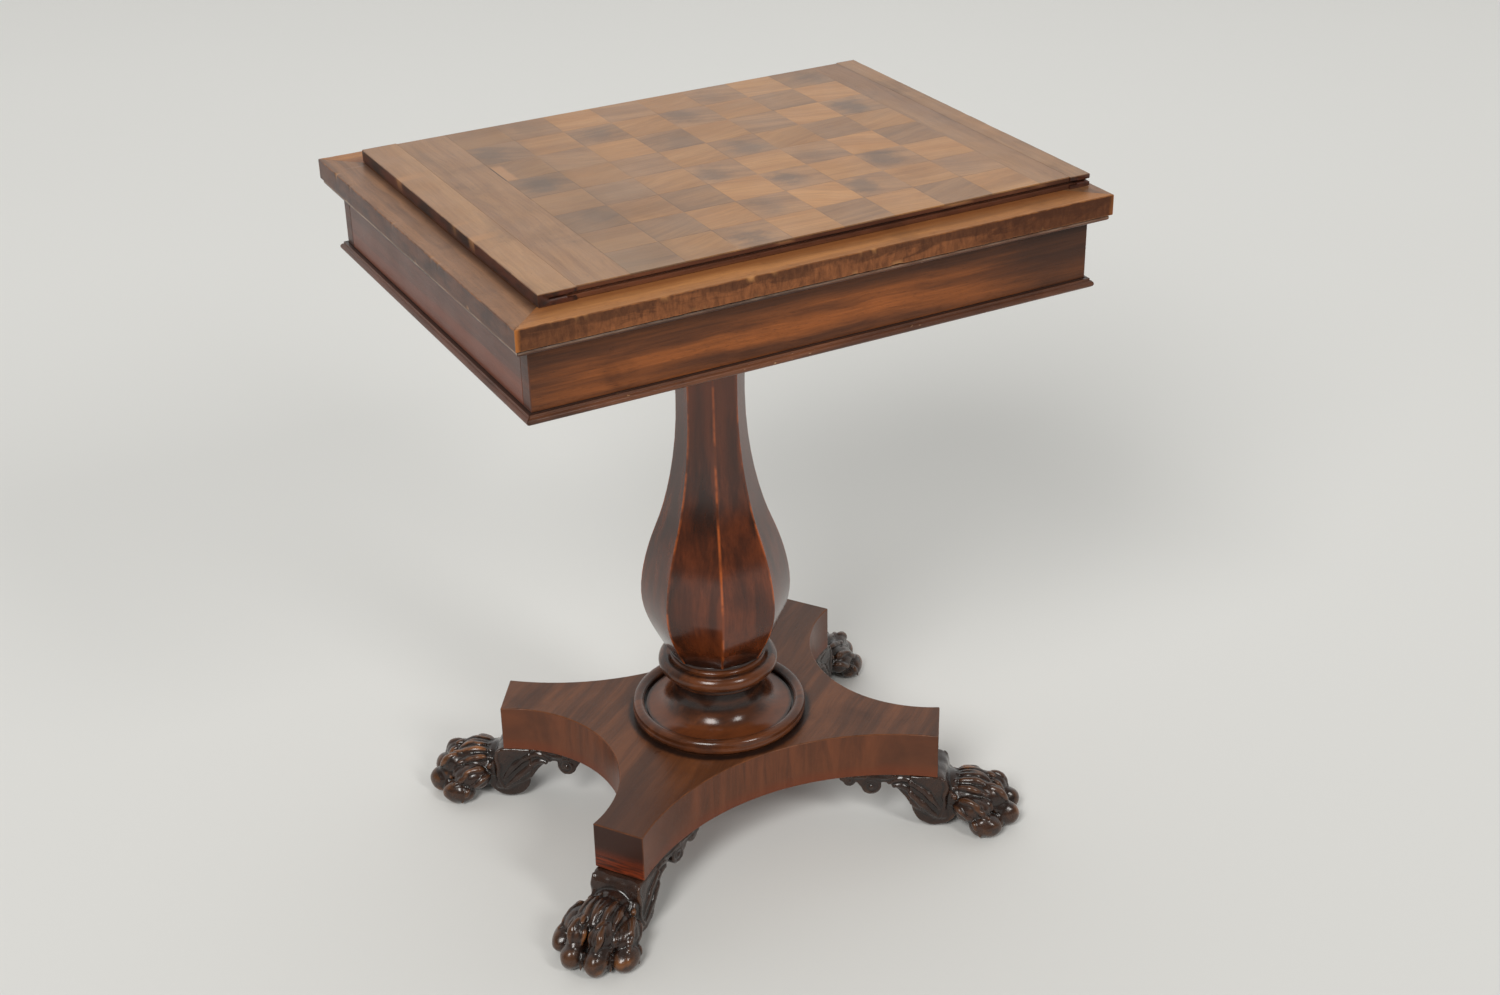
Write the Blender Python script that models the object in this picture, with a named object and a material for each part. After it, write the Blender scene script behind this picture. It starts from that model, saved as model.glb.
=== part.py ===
"""Games table: a sliding chessboard over a shallow well, on an octagonal column and four paw feet.

Metres, +Z up. The origin is on the floor under the column's axis. -Y is the front, +X the right.
"""
import math

import bmesh
import bpy
from mathutils import Matrix, Vector
from mathutils.geometry import interpolate_bezier

# Gaps and clearances
GLUE_GAP = 0.0003
BATTEN_PLAY = 0.001
LINING_PLAY = 0.0005

# Whole table
TABLE_HEIGHT = 0.735

# Chessboard: a veneered field between two cleats
SQUARE = 0.052
SQUARES_PER_SIDE = 8
LEFT_STRIP = 0.050
RIGHT_STRIP = 0.033
LEFT_CLEAT = 0.035
RIGHT_CLEAT = 0.022
CLEAT_STEP = 0.0017
BOARD_THICKNESS = 0.012
VENEER = 0.0012
CLEAT_TONGUE_LENGTH = 0.008
CLEAT_TONGUE_THICKNESS = 0.004
CLEAT_TONGUE_LIFT = 0.0035
EDGE_GROOVE_LIFT = 0.004
EDGE_GROOVE_HEIGHT = 0.003
EDGE_GROOVE_DEPTH = 0.004
EDGE_GROOVE_STOP = 0.010

# Guide battens under the chessboard
BATTEN_LENGTH = 0.200
BATTEN_WIDTH = 0.016
BATTEN_HEIGHT = 0.009
BATTEN_REST_INSET = 0.037

# Top frame, round the mouth of the well
FRAME_LEFT_MARGIN = 0.035
FRAME_RIGHT_MARGIN = 0.005
FRAME_SIDE_MARGIN = 0.033
FRAME_THICKNESS = 0.020
RAIL_WIDTH = 0.043

# Frieze box under the frame
FRAME_OVERHANG = 0.016
FRIEZE_HEIGHT = 0.064
FRIEZE_THICKNESS = 0.016
FRIEZE_TONGUE_LENGTH = 0.006
FRIEZE_TONGUE_THICKNESS = 0.005
BOTTOM_THICKNESS = 0.0087
LINING_THICKNESS = 0.0025

# Mouldings planted on the frieze box
BEAD_HEIGHT = 0.005
BEAD_SETBACK = 0.002
COVE_REACH = 0.007
COVE_HEIGHT = 0.006
COVE_STEPS = 4
LOWER_REACH = 0.007
LOWER_FILLET = 0.0022
NOSE_STEPS = 6

# Bearer that joins the column to the box
BEARER_LENGTH = 0.300
BEARER_WIDTH = 0.130
BEARER_THICKNESS = 0.024
BEARER_CHAMFER = 0.010
BEARER_SCREW_END_INSET = 0.032
BEARER_SCREW_SIDE_INSET = 0.019

# Wood screws
SCREW_HEAD_RADIUS = 0.0042
SCREW_HEAD_DEPTH = 0.0032
SCREW_SHANK_RADIUS = 0.0021
SCREW_POINT = 0.004
SCREW_SIDES = 12
BEARER_SCREW_LENGTH = 0.0295

# Column: octagonal baluster on turned members
BALUSTER_SIDES = 8
BALUSTER_FOOT_RADIUS = 0.0545
BALUSTER_BELLY_RADIUS = 0.0785
BALUSTER_BELLY_RISE = 0.070
BALUSTER_FLANK_RADIUS = 0.0605
BALUSTER_FLANK_RISE = 0.147
BALUSTER_NECK_RADIUS = 0.0350
BALUSTER_NECK_RISE = 0.292
BALUSTER_TOP_RADIUS = 0.0362
BALUSTER_STEPS = 8
# How far each end's tangent reaches along the curve of the baluster's side
FOOT_TANGENT = 0.5
FOOT_TANGENT_RISE = 0.33
BELLY_TANGENT = 0.38
FLANK_LEAN = 0.42
FLANK_LOWER_TANGENT = 0.27
FLANK_UPPER_TANGENT = 0.38
NECK_TANGENT = 0.45
TOP_TANGENT = 0.3
TOP_TENON_RADIUS = 0.020
TOP_TENON_LENGTH = 0.0225
COLLAR_RADIUS = 0.0632
COLLAR_HEIGHT = 0.0264
COLLAR_FILLET_RADIUS = 0.051
COLLAR_FILLET_HEIGHT = 0.004
COLLAR_QUIRK_DEPTH = 0.002
COLLAR_BEAD_HEIGHT = 0.018
NECK_RADIUS = 0.0468
NECK_FILLET_RADIUS = 0.0535
NECK_FILLET_HEIGHT = 0.006
NECK_PLATE_RADIUS = 0.0780
NECK_PLATE_EDGE = 0.003
NECK_HEIGHT = 0.0494
NECK_HOLLOW_SQUARENESS = 0.75
BASE_RING_RADIUS = 0.0925
BASE_RING_RIM = 0.012
BASE_RING_HEIGHT = 0.0175
BASE_RING_FLOOR = 0.0065
TURNED_SIDES = 36
SPINDLE_RADIUS = 0.017
SPINDLE_SIDES = 24
SPINDLE_INTO_BALUSTER = 0.080
SPINDLE_END_LIFT = 0.002
WEDGE_LENGTH = 0.032
WEDGE_THICK_END = 0.005
WEDGE_THIN_END = 0.0022

# Platform with concave sides and canted corners
PLATFORM_THICKNESS = 0.053
CANT_CENTRE_X = 0.190
CANT_CENTRE_Y = 0.1415
CANT_WIDTH = 0.057
CANT_ANGLE = math.radians(34.2)
LONG_SIDE_WAIST = 0.100
SHORT_SIDE_WAIST = 0.134
SIDE_ARC_STEPS = 14

# Paw feet. Local +X points out of the platform's corner, and 0 is on the canted face
FOOT_HEIGHT = 0.067
SHANK_WIDTH = 0.055
SHANK_DEPTH = 0.028
SHOULDER_REACH = 0.0125
SHOULDER_DROP = 0.015
SHANK_BASE_REACH = 0.012
SHANK_BASE_LIFT = 0.012
SHANK_EDGE_ROUND = 0.005
HEEL_RADIUS = 0.025
HEEL_LIFT = 0.003
HEEL_INSET = 0.001
HEEL_WIDTH = 0.050
HEEL_SIDES = 20
DOWEL_RADIUS = 0.007
DOWEL_SIDES = 16
DOWEL_INSET = 0.012
DOWEL_INTO_FOOT = 0.028
DOWEL_INTO_PLATFORM = 0.028
PAW_FORM_COLUMNS = 10
PAW_FORM_ROWS = 6
# Each rounded form of the paw: its middle (out, across, up) and its three radii.
# A form that lies off the middle line is made on both sides.
PAW_FORMS = {
    "instep": ((0.034, 0.0, 0.032), (0.031, 0.031, 0.0275)),
    "inner_knuckle": ((0.053, 0.0125, 0.036), (0.023, 0.0135, 0.018)),
    "inner_toe": ((0.070, 0.0135, 0.017), (0.0190, 0.0145, 0.0185)),
    "outer_knuckle": ((0.038, 0.0285, 0.029), (0.021, 0.0145, 0.017)),
    "outer_toe": ((0.050, 0.0350, 0.014), (0.0205, 0.0140, 0.0160)),
}

# Leaf brackets behind the paws
BRACKET_ROOT_HEIGHT = 0.038
BRACKET_LENGTH = 0.076
BRACKET_HALF_WIDTH = 0.036
BRACKET_SETBACK = 0.002
BRACKET_BLADE = 0.010
SCROLL_RADIUS = 0.0105
SCROLL_INSET = 0.042
SCROLL_DROP = 0.0145
TIP_RADIUS = 0.0065
TIP_INSET = 0.065
TIP_DROP = 0.006
SCROLL_STEPS = 10
SCROLL_SWEEP_START = -10
SCROLL_SWEEP_END = -170

# Sizes that follow from those above
BOARD_DEPTH = SQUARES_PER_SIDE * SQUARE
FIELD_LENGTH = LEFT_STRIP + BOARD_DEPTH + RIGHT_STRIP
BOARD_LENGTH = LEFT_CLEAT + FIELD_LENGTH + RIGHT_CLEAT
FRAME_LENGTH = FRAME_LEFT_MARGIN + BOARD_LENGTH + FRAME_RIGHT_MARGIN
FRAME_DEPTH = BOARD_DEPTH + 2 * FRAME_SIDE_MARGIN
FRIEZE_LENGTH = FRAME_LENGTH - 2 * FRAME_OVERHANG
FRIEZE_DEPTH = FRAME_DEPTH - 2 * FRAME_OVERHANG
FRAME_TOP = TABLE_HEIGHT - BOARD_THICKNESS
FRAME_UNDERSIDE = FRAME_TOP - FRAME_THICKNESS
FRIEZE_UNDERSIDE = FRAME_UNDERSIDE - FRIEZE_HEIGHT
BOX_UNDERSIDE = FRIEZE_UNDERSIDE - BOTTOM_THICKNESS
BEARER_UNDERSIDE = BOX_UNDERSIDE - BEARER_THICKNESS
BOARD_UNDERSIDE = FRAME_TOP + GLUE_GAP
BOARD_LEFT = -FRAME_LENGTH / 2 + FRAME_LEFT_MARGIN
FIELD_LEFT = BOARD_LEFT + LEFT_CLEAT
FIELD_RIGHT = FIELD_LEFT + FIELD_LENGTH
SQUARES_LEFT = FIELD_LEFT + LEFT_STRIP
PLATFORM_TOP = FOOT_HEIGHT + PLATFORM_THICKNESS
RING_SEAT = PLATFORM_TOP + GLUE_GAP
NECK_SEAT = RING_SEAT + BASE_RING_FLOOR + GLUE_GAP
COLLAR_SEAT = NECK_SEAT + NECK_HEIGHT + GLUE_GAP
BALUSTER_SEAT = COLLAR_SEAT + COLLAR_HEIGHT + GLUE_GAP
BALUSTER_TOP = BEARER_UNDERSIDE - GLUE_GAP
BORE_RADIUS = SPINDLE_RADIUS + GLUE_GAP
DOWEL_BORE_RADIUS = DOWEL_RADIUS + GLUE_GAP

SIDES = {"front": 0, "right": 1, "back": 2, "left": 3}
CORNERS = {"front_left": (-1, -1), "front_right": (1, -1), "back_right": (1, 1), "back_left": (-1, 1)}
SMOOTH_ANGLE = math.radians(40)


def clear_scene():
    for old in list(bpy.data.objects):
        bpy.data.objects.remove(old, do_unlink=True)


def finish(name, colour, roughness, metallic=0.0):
    """A plain finish: base colour, roughness and metallic value."""
    material = bpy.data.materials.new(name)
    material.use_nodes = True
    shader = material.node_tree.nodes["Principled BSDF"]
    shader.inputs["Base Color"].default_value = (*colour, 1.0)
    shader.inputs["Roughness"].default_value = roughness
    shader.inputs["Metallic"].default_value = metallic
    material.diffuse_color = (*colour, 1.0)
    return material


def mesh_from(bm, name):
    bmesh.ops.remove_doubles(bm, verts=bm.verts, dist=1e-6)
    bmesh.ops.recalc_face_normals(bm, faces=bm.faces)
    mesh = bpy.data.meshes.new(name)
    bm.to_mesh(mesh)
    bm.free()
    return mesh


def place(name, mesh, material, location=(0.0, 0.0, 0.0), turn=0.0):
    """Put a mesh in the scene as one named piece, turned about Z."""
    if not mesh.materials:
        mesh.materials.append(material)
    mesh.shade_smooth()
    mesh.set_sharp_from_angle(angle=SMOOTH_ANGLE)
    piece = bpy.data.objects.new(name, mesh)
    piece.location = location
    piece.rotation_euler.z = turn
    bpy.context.scene.collection.objects.link(piece)
    return piece


def cutter(name, bm):
    """A shape that only cuts others, and isn't a piece of the table."""
    shape = bpy.data.objects.new(name, mesh_from(bm, name))
    shape.display_type = "WIRE"
    shape.hide_render = True
    bpy.context.scene.collection.objects.link(shape)
    return shape


def combine(piece, other, operation):
    modifier = piece.modifiers.new(operation.lower() + "_" + other.name, "BOOLEAN")
    modifier.operation = operation
    modifier.solver = "EXACT"
    modifier.object = other


def add_box(bm, low, high):
    middle = [(a + b) / 2 for a, b in zip(low, high)]
    size = [b - a for a, b in zip(low, high)]
    matrix = Matrix.Translation(middle) @ Matrix.Diagonal((*size, 1.0))
    bmesh.ops.create_cube(bm, size=1.0, matrix=matrix)


def add_prism(bm, outline, bottom, top):
    """Extrude a plan outline from one level to another."""
    face = bm.faces.new([bm.verts.new((x, y, bottom)) for x, y in outline])
    raised = bmesh.ops.extrude_face_region(bm, geom=[face])["geom"]
    verts = [v for v in raised if isinstance(v, bmesh.types.BMVert)]
    bmesh.ops.translate(bm, verts=verts, vec=(0.0, 0.0, top - bottom))


def add_profile_prism(bm, outline, start, end):
    """Extrude an outline drawn in X and Z along Y."""
    face = bm.faces.new([bm.verts.new((x, start, z)) for x, z in outline])
    raised = bmesh.ops.extrude_face_region(bm, geom=[face])["geom"]
    verts = [v for v in raised if isinstance(v, bmesh.types.BMVert)]
    bmesh.ops.translate(bm, verts=verts, vec=(0.0, end - start, 0.0))


def add_turning(bm, profile, sides, closed):
    """Spin a profile of (radius, height) points about Z."""
    verts = [bm.verts.new((r, 0.0, z)) for r, z in profile]
    edges = [bm.edges.new(pair) for pair in zip(verts, verts[1:])]
    if closed:
        edges.append(bm.edges.new((verts[-1], verts[0])))
    bmesh.ops.spin(
        bm, geom=verts + edges, cent=(0, 0, 0), axis=(0, 0, 1),
        angle=2 * math.pi, steps=sides, use_merge=True,
    )


def add_cylinder(bm, radius, bottom, top, sides, x=0.0, y=0.0):
    matrix = Matrix.Translation((x, y, (bottom + top) / 2))
    bmesh.ops.create_cone(
        bm, cap_ends=True, segments=sides, radius1=radius, radius2=radius,
        depth=top - bottom, matrix=matrix,
    )


def add_screw(bm, x, y, head_level, length, grow=0.0):
    """A countersunk screw driven upwards, or with grow the hole that takes it."""
    head = SCREW_HEAD_RADIUS + grow
    shank = SCREW_SHANK_RADIUS + grow
    tip = head_level + length + grow
    profile = [
        (0.0, tip),
        (shank, tip - SCREW_POINT),
        (shank, head_level + SCREW_HEAD_DEPTH + grow),
        (head, head_level - grow),
        (0.0, head_level - grow),
    ]
    before = set(bm.verts)
    add_turning(bm, profile, SCREW_SIDES, closed=False)
    bmesh.ops.translate(bm, verts=[v for v in bm.verts if v not in before], vec=(x, y, 0.0))


def arc(centre, radius, start, end, steps):
    """Points along an arc, angles in degrees, both ends included."""
    angles = [math.radians(start + (end - start) * i / steps) for i in range(steps + 1)]
    return [(centre[0] + radius * math.cos(a), centre[1] + radius * math.sin(a)) for a in angles]


def add_mitred_strip(bm, profile, half_run, half_across):
    """A strip along the front of a rectangle, its (outward, height) profile mitred at both ends."""
    loops = []
    for end in (-1, 1):
        verts = []
        for outward, height in profile:
            along = half_run + outward - GLUE_GAP
            verts.append(bm.verts.new((end * along, -(half_across + outward), height)))
        loops.append(verts)
        bm.faces.new(verts)
    edges = [e for e in bm.edges]
    bmesh.ops.bridge_loops(bm, edges=edges)


def mitred_strips(stem, profile, length, depth, material):
    """Four strips round a rectangle, one named piece to a side."""
    strips = {}
    for side, quarter in SIDES.items():
        run, across = (length, depth) if quarter % 2 == 0 else (depth, length)
        bm = bmesh.new()
        add_mitred_strip(bm, profile, run / 2, across / 2)
        name = stem + "_" + side
        strips[side] = place(name, mesh_from(bm, name), material, turn=quarter * math.pi / 2)
    return strips


# Chessboard

def edge_groove_cutter():
    """The groove along both long edges, open at the right end and stopped at the left."""
    bm = bmesh.new()
    left = BOARD_LEFT + EDGE_GROOVE_STOP
    right = BOARD_LEFT + BOARD_LENGTH + EDGE_GROOVE_STOP
    low = BOARD_UNDERSIDE + EDGE_GROOVE_LIFT
    inner = BOARD_DEPTH / 2 - EDGE_GROOVE_DEPTH
    outer = BOARD_DEPTH / 2 + CLEAT_STEP + EDGE_GROOVE_DEPTH
    for side in (-1, 1):
        near, far = sorted((side * inner, side * outer))
        add_box(bm, (left, near, low), (right, far, low + EDGE_GROOVE_HEIGHT))
    return cutter("edge_groove_cutter", bm)


def cleat_tongue_levels(play):
    low = BOARD_UNDERSIDE + CLEAT_TONGUE_LIFT
    return low - play, low + CLEAT_TONGUE_THICKNESS + play


def board_core(groove):
    """The field's ground, with a tongue into each cleat."""
    bottom = BOARD_UNDERSIDE
    top = TABLE_HEIGHT - VENEER - GLUE_GAP
    low, high = cleat_tongue_levels(0.0)
    tip_left = FIELD_LEFT - CLEAT_TONGUE_LENGTH
    tip_right = FIELD_RIGHT + CLEAT_TONGUE_LENGTH
    outline = [
        (FIELD_LEFT, bottom), (FIELD_RIGHT, bottom),
        (FIELD_RIGHT, low), (tip_right, low), (tip_right, high), (FIELD_RIGHT, high),
        (FIELD_RIGHT, top), (FIELD_LEFT, top),
        (FIELD_LEFT, high), (tip_left, high), (tip_left, low), (FIELD_LEFT, low),
    ]
    bm = bmesh.new()
    add_profile_prism(bm, outline, -BOARD_DEPTH / 2, BOARD_DEPTH / 2)
    piece = place("board_core", mesh_from(bm, "board_core"), BOARD_GROUND)
    combine(piece, groove, "DIFFERENCE")


def cleat(name, joint, end, groove):
    """A cleat from its joint with the field to the board's end, slotted for the tongue."""
    way = 1 if end > joint else -1
    face = joint + way * GLUE_GAP
    slot = joint + way * (CLEAT_TONGUE_LENGTH + GLUE_GAP)
    low, high = cleat_tongue_levels(GLUE_GAP)
    outline = [
        (face, BOARD_UNDERSIDE), (end, BOARD_UNDERSIDE), (end, TABLE_HEIGHT), (face, TABLE_HEIGHT),
        (face, high), (slot, high), (slot, low), (face, low),
    ]
    half = BOARD_DEPTH / 2 + CLEAT_STEP
    bm = bmesh.new()
    add_profile_prism(bm, outline, -half, half)
    piece = place(name, mesh_from(bm, name), BOARD_TOP)
    combine(piece, groove, "DIFFERENCE")


def veneer_tile(bm, left, front, length, depth):
    low = (left + GLUE_GAP / 2, front + GLUE_GAP / 2, TABLE_HEIGHT - VENEER)
    high = (left + length - GLUE_GAP / 2, front + depth - GLUE_GAP / 2, TABLE_HEIGHT)
    add_box(bm, low, high)


def chequer_row(row):
    """A strip of alternating squares: rows are glued up of such strips."""
    bm = bmesh.new()
    front = -BOARD_DEPTH / 2 + row * SQUARE
    veneer_tile(bm, SQUARES_LEFT, front, BOARD_DEPTH, SQUARE)
    for joint in range(1, SQUARES_PER_SIDE):
        whole = bm.verts[:] + bm.edges[:] + bm.faces[:]
        at = (SQUARES_LEFT + joint * SQUARE, 0.0, 0.0)
        bmesh.ops.bisect_plane(bm, geom=whole, plane_co=at, plane_no=(1.0, 0.0, 0.0))
    name = "chequer_row_" + str(row + 1)
    mesh = mesh_from(bm, name)
    mesh.materials.append(DARK_SQUARE)
    mesh.materials.append(LIGHT_SQUARE)
    for face in mesh.polygons:
        column = int((face.center.x - SQUARES_LEFT) / SQUARE)
        face.material_index = (column + row) % 2
    place(name, mesh, DARK_SQUARE)


def field_strip(name, left, length):
    bm = bmesh.new()
    veneer_tile(bm, left, -BOARD_DEPTH / 2, length, BOARD_DEPTH)
    place(name, mesh_from(bm, name), BOARD_TOP)


def batten_middle():
    """The middle of the front batten, in plan."""
    mouth_left = -FRAME_LENGTH / 2 + RAIL_WIDTH
    mouth_front = -FRAME_DEPTH / 2 + RAIL_WIDTH
    x = mouth_left + BATTEN_REST_INSET + BATTEN_LENGTH / 2
    y = mouth_front + BATTEN_PLAY + BATTEN_WIDTH / 2
    return x, y


def guide_batten(name, side):
    x, y = batten_middle()
    top = BOARD_UNDERSIDE - GLUE_GAP
    low = (x - BATTEN_LENGTH / 2, side * y - BATTEN_WIDTH / 2, top - BATTEN_HEIGHT)
    high = (x + BATTEN_LENGTH / 2, side * y + BATTEN_WIDTH / 2, top)
    bm = bmesh.new()
    add_box(bm, low, high)
    place(name, mesh_from(bm, name), PLAIN_WOOD)


def chessboard():
    groove = edge_groove_cutter()
    board_core(groove)
    cleat("left_cleat", FIELD_LEFT, BOARD_LEFT, groove)
    cleat("right_cleat", FIELD_RIGHT, FIELD_RIGHT + RIGHT_CLEAT, groove)
    for row in range(SQUARES_PER_SIDE):
        chequer_row(row)
    field_strip("left_field_strip", FIELD_LEFT, LEFT_STRIP)
    field_strip("right_field_strip", FIELD_RIGHT - RIGHT_STRIP, RIGHT_STRIP)
    guide_batten("front_guide_batten", 1)
    guide_batten("back_guide_batten", -1)


# Top frame

def top_frame():
    """Four rails, mitred at the corners."""
    rail = [
        (-RAIL_WIDTH, FRAME_UNDERSIDE), (0.0, FRAME_UNDERSIDE),
        (0.0, FRAME_TOP), (-RAIL_WIDTH, FRAME_TOP),
    ]
    mitred_strips("frame_rail", rail, FRAME_LENGTH, FRAME_DEPTH, FRAME_WOOD)


# Frieze box

def long_frieze(name, turn):
    """The front or back of the box, grooved near both ends for the end boards."""
    end = FRIEZE_LENGTH / 2
    face = -FRIEZE_DEPTH / 2
    inside = face + FRIEZE_THICKNESS
    middle = end - FRIEZE_THICKNESS / 2
    half = FRIEZE_TONGUE_THICKNESS / 2 + GLUE_GAP
    deep = inside - FRIEZE_TONGUE_LENGTH - GLUE_GAP
    groove = [(middle + half, inside), (middle + half, deep), (middle - half, deep), (middle - half, inside)]
    right = [(end, face), (end, inside)] + groove
    left = [(-x, y) for x, y in reversed(right)]
    bm = bmesh.new()
    add_prism(bm, right + left, FRIEZE_UNDERSIDE, FRAME_UNDERSIDE - GLUE_GAP)
    place(name, mesh_from(bm, name), FRIEZE_WOOD, turn=turn)


def end_frieze(name, turn):
    """An end of the box, with a tongue into the front and back boards."""
    middle = FRIEZE_LENGTH / 2 - FRIEZE_THICKNESS / 2
    shoulder = FRIEZE_DEPTH / 2 - FRIEZE_THICKNESS - GLUE_GAP
    tip = shoulder + FRIEZE_TONGUE_LENGTH
    wide = FRIEZE_THICKNESS / 2
    slim = FRIEZE_TONGUE_THICKNESS / 2
    quarter = [(middle + wide, shoulder), (middle + slim, shoulder), (middle + slim, tip)]
    back = quarter + [(2 * middle - x, y) for x, y in reversed(quarter)]
    front = [(x, -y) for x, y in reversed(back)]
    bm = bmesh.new()
    add_prism(bm, back + front, FRIEZE_UNDERSIDE, FRAME_UNDERSIDE - GLUE_GAP)
    place(name, mesh_from(bm, name), FRIEZE_WOOD, turn=turn)


def top_mouldings():
    """A bead under the frame's edge over a small cove on the frieze."""
    top = FRAME_UNDERSIDE - GLUE_GAP
    bead_low = top - BEAD_HEIGHT
    bead_reach = FRAME_OVERHANG - BEAD_SETBACK
    nose = arc((bead_reach - BEAD_HEIGHT / 2, top - BEAD_HEIGHT / 2), BEAD_HEIGHT / 2, 90, -90, NOSE_STEPS)
    cove = []
    for step in range(COVE_STEPS + 1):
        turn = math.pi / 2 * step / COVE_STEPS
        outward = GLUE_GAP + COVE_REACH * (1 - math.sin(turn))
        cove.append((outward, bead_low - COVE_HEIGHT * (1 - math.cos(turn))))
    profile = [(GLUE_GAP, top)] + nose + cove
    mitred_strips("top_moulding", profile, FRIEZE_LENGTH, FRIEZE_DEPTH, MOULDING_WOOD)


def lower_mouldings():
    """A nosed strip round the bottom board, with a fillet against the frieze."""
    high = FRIEZE_UNDERSIDE - GLUE_GAP
    radius = (BOTTOM_THICKNESS - GLUE_GAP - LOWER_FILLET) / 2
    nose = arc((LOWER_REACH - radius, BOX_UNDERSIDE + radius), radius, -90, 90, NOSE_STEPS)
    fillet = LOWER_REACH - radius
    profile = [(GLUE_GAP, BOX_UNDERSIDE)] + nose + [(fillet, high), (GLUE_GAP, high)]
    mitred_strips("lower_moulding", profile, FRIEZE_LENGTH, FRIEZE_DEPTH, MOULDING_WOOD)


def add_bearer_screw(bm, corner, grow):
    x = corner[0] * (BEARER_LENGTH / 2 - BEARER_SCREW_END_INSET)
    y = corner[1] * (BEARER_WIDTH / 2 - BEARER_SCREW_SIDE_INSET)
    add_screw(bm, x, y, BEARER_UNDERSIDE, BEARER_SCREW_LENGTH, grow)


def bearer_screws():
    """The four screws that hold the bearer to the box, and the cutter for their holes."""
    holes = bmesh.new()
    for corner_name, corner in CORNERS.items():
        add_bearer_screw(holes, corner, GLUE_GAP)
        bm = bmesh.new()
        add_bearer_screw(bm, corner, 0.0)
        name = "bearer_screw_" + corner_name
        place(name, mesh_from(bm, name), IRON)
    return cutter("bearer_screw_holes", holes)


def bottom_board(screw_holes):
    bm = bmesh.new()
    half_length = FRIEZE_LENGTH / 2
    half_depth = FRIEZE_DEPTH / 2
    low = (-half_length, -half_depth, BOX_UNDERSIDE)
    high = (half_length, half_depth, FRIEZE_UNDERSIDE - GLUE_GAP)
    add_box(bm, low, high)
    piece = place("bottom_board", mesh_from(bm, "bottom_board"), PLAIN_WOOD)
    combine(piece, screw_holes, "DIFFERENCE")


def well_lining():
    bm = bmesh.new()
    half_length = FRIEZE_LENGTH / 2 - FRIEZE_THICKNESS - LINING_PLAY
    half_depth = FRIEZE_DEPTH / 2 - FRIEZE_THICKNESS - LINING_PLAY
    low = (-half_length, -half_depth, FRIEZE_UNDERSIDE)
    high = (half_length, half_depth, FRIEZE_UNDERSIDE + LINING_THICKNESS)
    add_box(bm, low, high)
    place("well_lining", mesh_from(bm, "well_lining"), BAIZE)


def column_bearer(screw_holes):
    """The batten under the box that takes the column's tenon."""
    top = BOX_UNDERSIDE - GLUE_GAP
    half = BEARER_LENGTH / 2
    outline = [
        (-half + BEARER_CHAMFER, BEARER_UNDERSIDE), (half - BEARER_CHAMFER, BEARER_UNDERSIDE),
        (half, BEARER_UNDERSIDE + BEARER_CHAMFER), (half, top),
        (-half, top), (-half, BEARER_UNDERSIDE + BEARER_CHAMFER),
    ]
    bm = bmesh.new()
    add_profile_prism(bm, outline, -BEARER_WIDTH / 2, BEARER_WIDTH / 2)
    piece = place("column_bearer", mesh_from(bm, "column_bearer"), PLAIN_WOOD)
    mortise = bmesh.new()
    low = BEARER_UNDERSIDE - BEARER_CHAMFER
    add_cylinder(mortise, TOP_TENON_RADIUS + GLUE_GAP, low, BOX_UNDERSIDE + BEARER_CHAMFER, SPINDLE_SIDES)
    combine(piece, cutter("bearer_mortise", mortise), "DIFFERENCE")
    combine(piece, screw_holes, "DIFFERENCE")


def frieze_box():
    screw_holes = bearer_screws()
    long_frieze("frieze_front", 0.0)
    long_frieze("frieze_back", math.pi)
    end_frieze("frieze_right", 0.0)
    end_frieze("frieze_left", math.pi)
    top_mouldings()
    lower_mouldings()
    bottom_board(screw_holes)
    well_lining()
    column_bearer(screw_holes)


# Column

def baluster_profile():
    """Radius and height up the baluster, on four Bezier curves that share their tangents."""
    seat = BALUSTER_SEAT
    foot = Vector((BALUSTER_FOOT_RADIUS, seat, 0))
    belly = Vector((BALUSTER_BELLY_RADIUS, seat + BALUSTER_BELLY_RISE, 0))
    flank = Vector((BALUSTER_FLANK_RADIUS, seat + BALUSTER_FLANK_RISE, 0))
    neck = Vector((BALUSTER_NECK_RADIUS, seat + BALUSTER_NECK_RISE, 0))
    top = Vector((BALUSTER_TOP_RADIUS, BALUSTER_TOP, 0))
    swell = belly - foot
    upright = Vector((0, BALUSTER_BELLY_RISE, 0))
    lean = Vector((-FLANK_LEAN, 1.0, 0)) * BALUSTER_BELLY_RISE
    to_neck = Vector((0, neck.y - flank.y, 0))
    to_top = Vector((0, top.y - neck.y, 0))
    curves = [
        (foot, foot + Vector((swell.x * FOOT_TANGENT, swell.y * FOOT_TANGENT_RISE, 0)),
         belly - upright * BELLY_TANGENT, belly),
        (belly, belly + upright * BELLY_TANGENT, flank - lean * FLANK_LOWER_TANGENT, flank),
        (flank, flank + lean * FLANK_UPPER_TANGENT, neck - to_neck * NECK_TANGENT, neck),
        (neck, neck + to_top * TOP_TANGENT, top - (top - neck) * TOP_TANGENT, top),
    ]
    points = []
    for a, b, c, d in curves:
        part = interpolate_bezier(a, b, c, d, BALUSTER_STEPS + 1)
        points += part if not points else part[1:]
    return [(p.x, p.y) for p in points]


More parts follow.
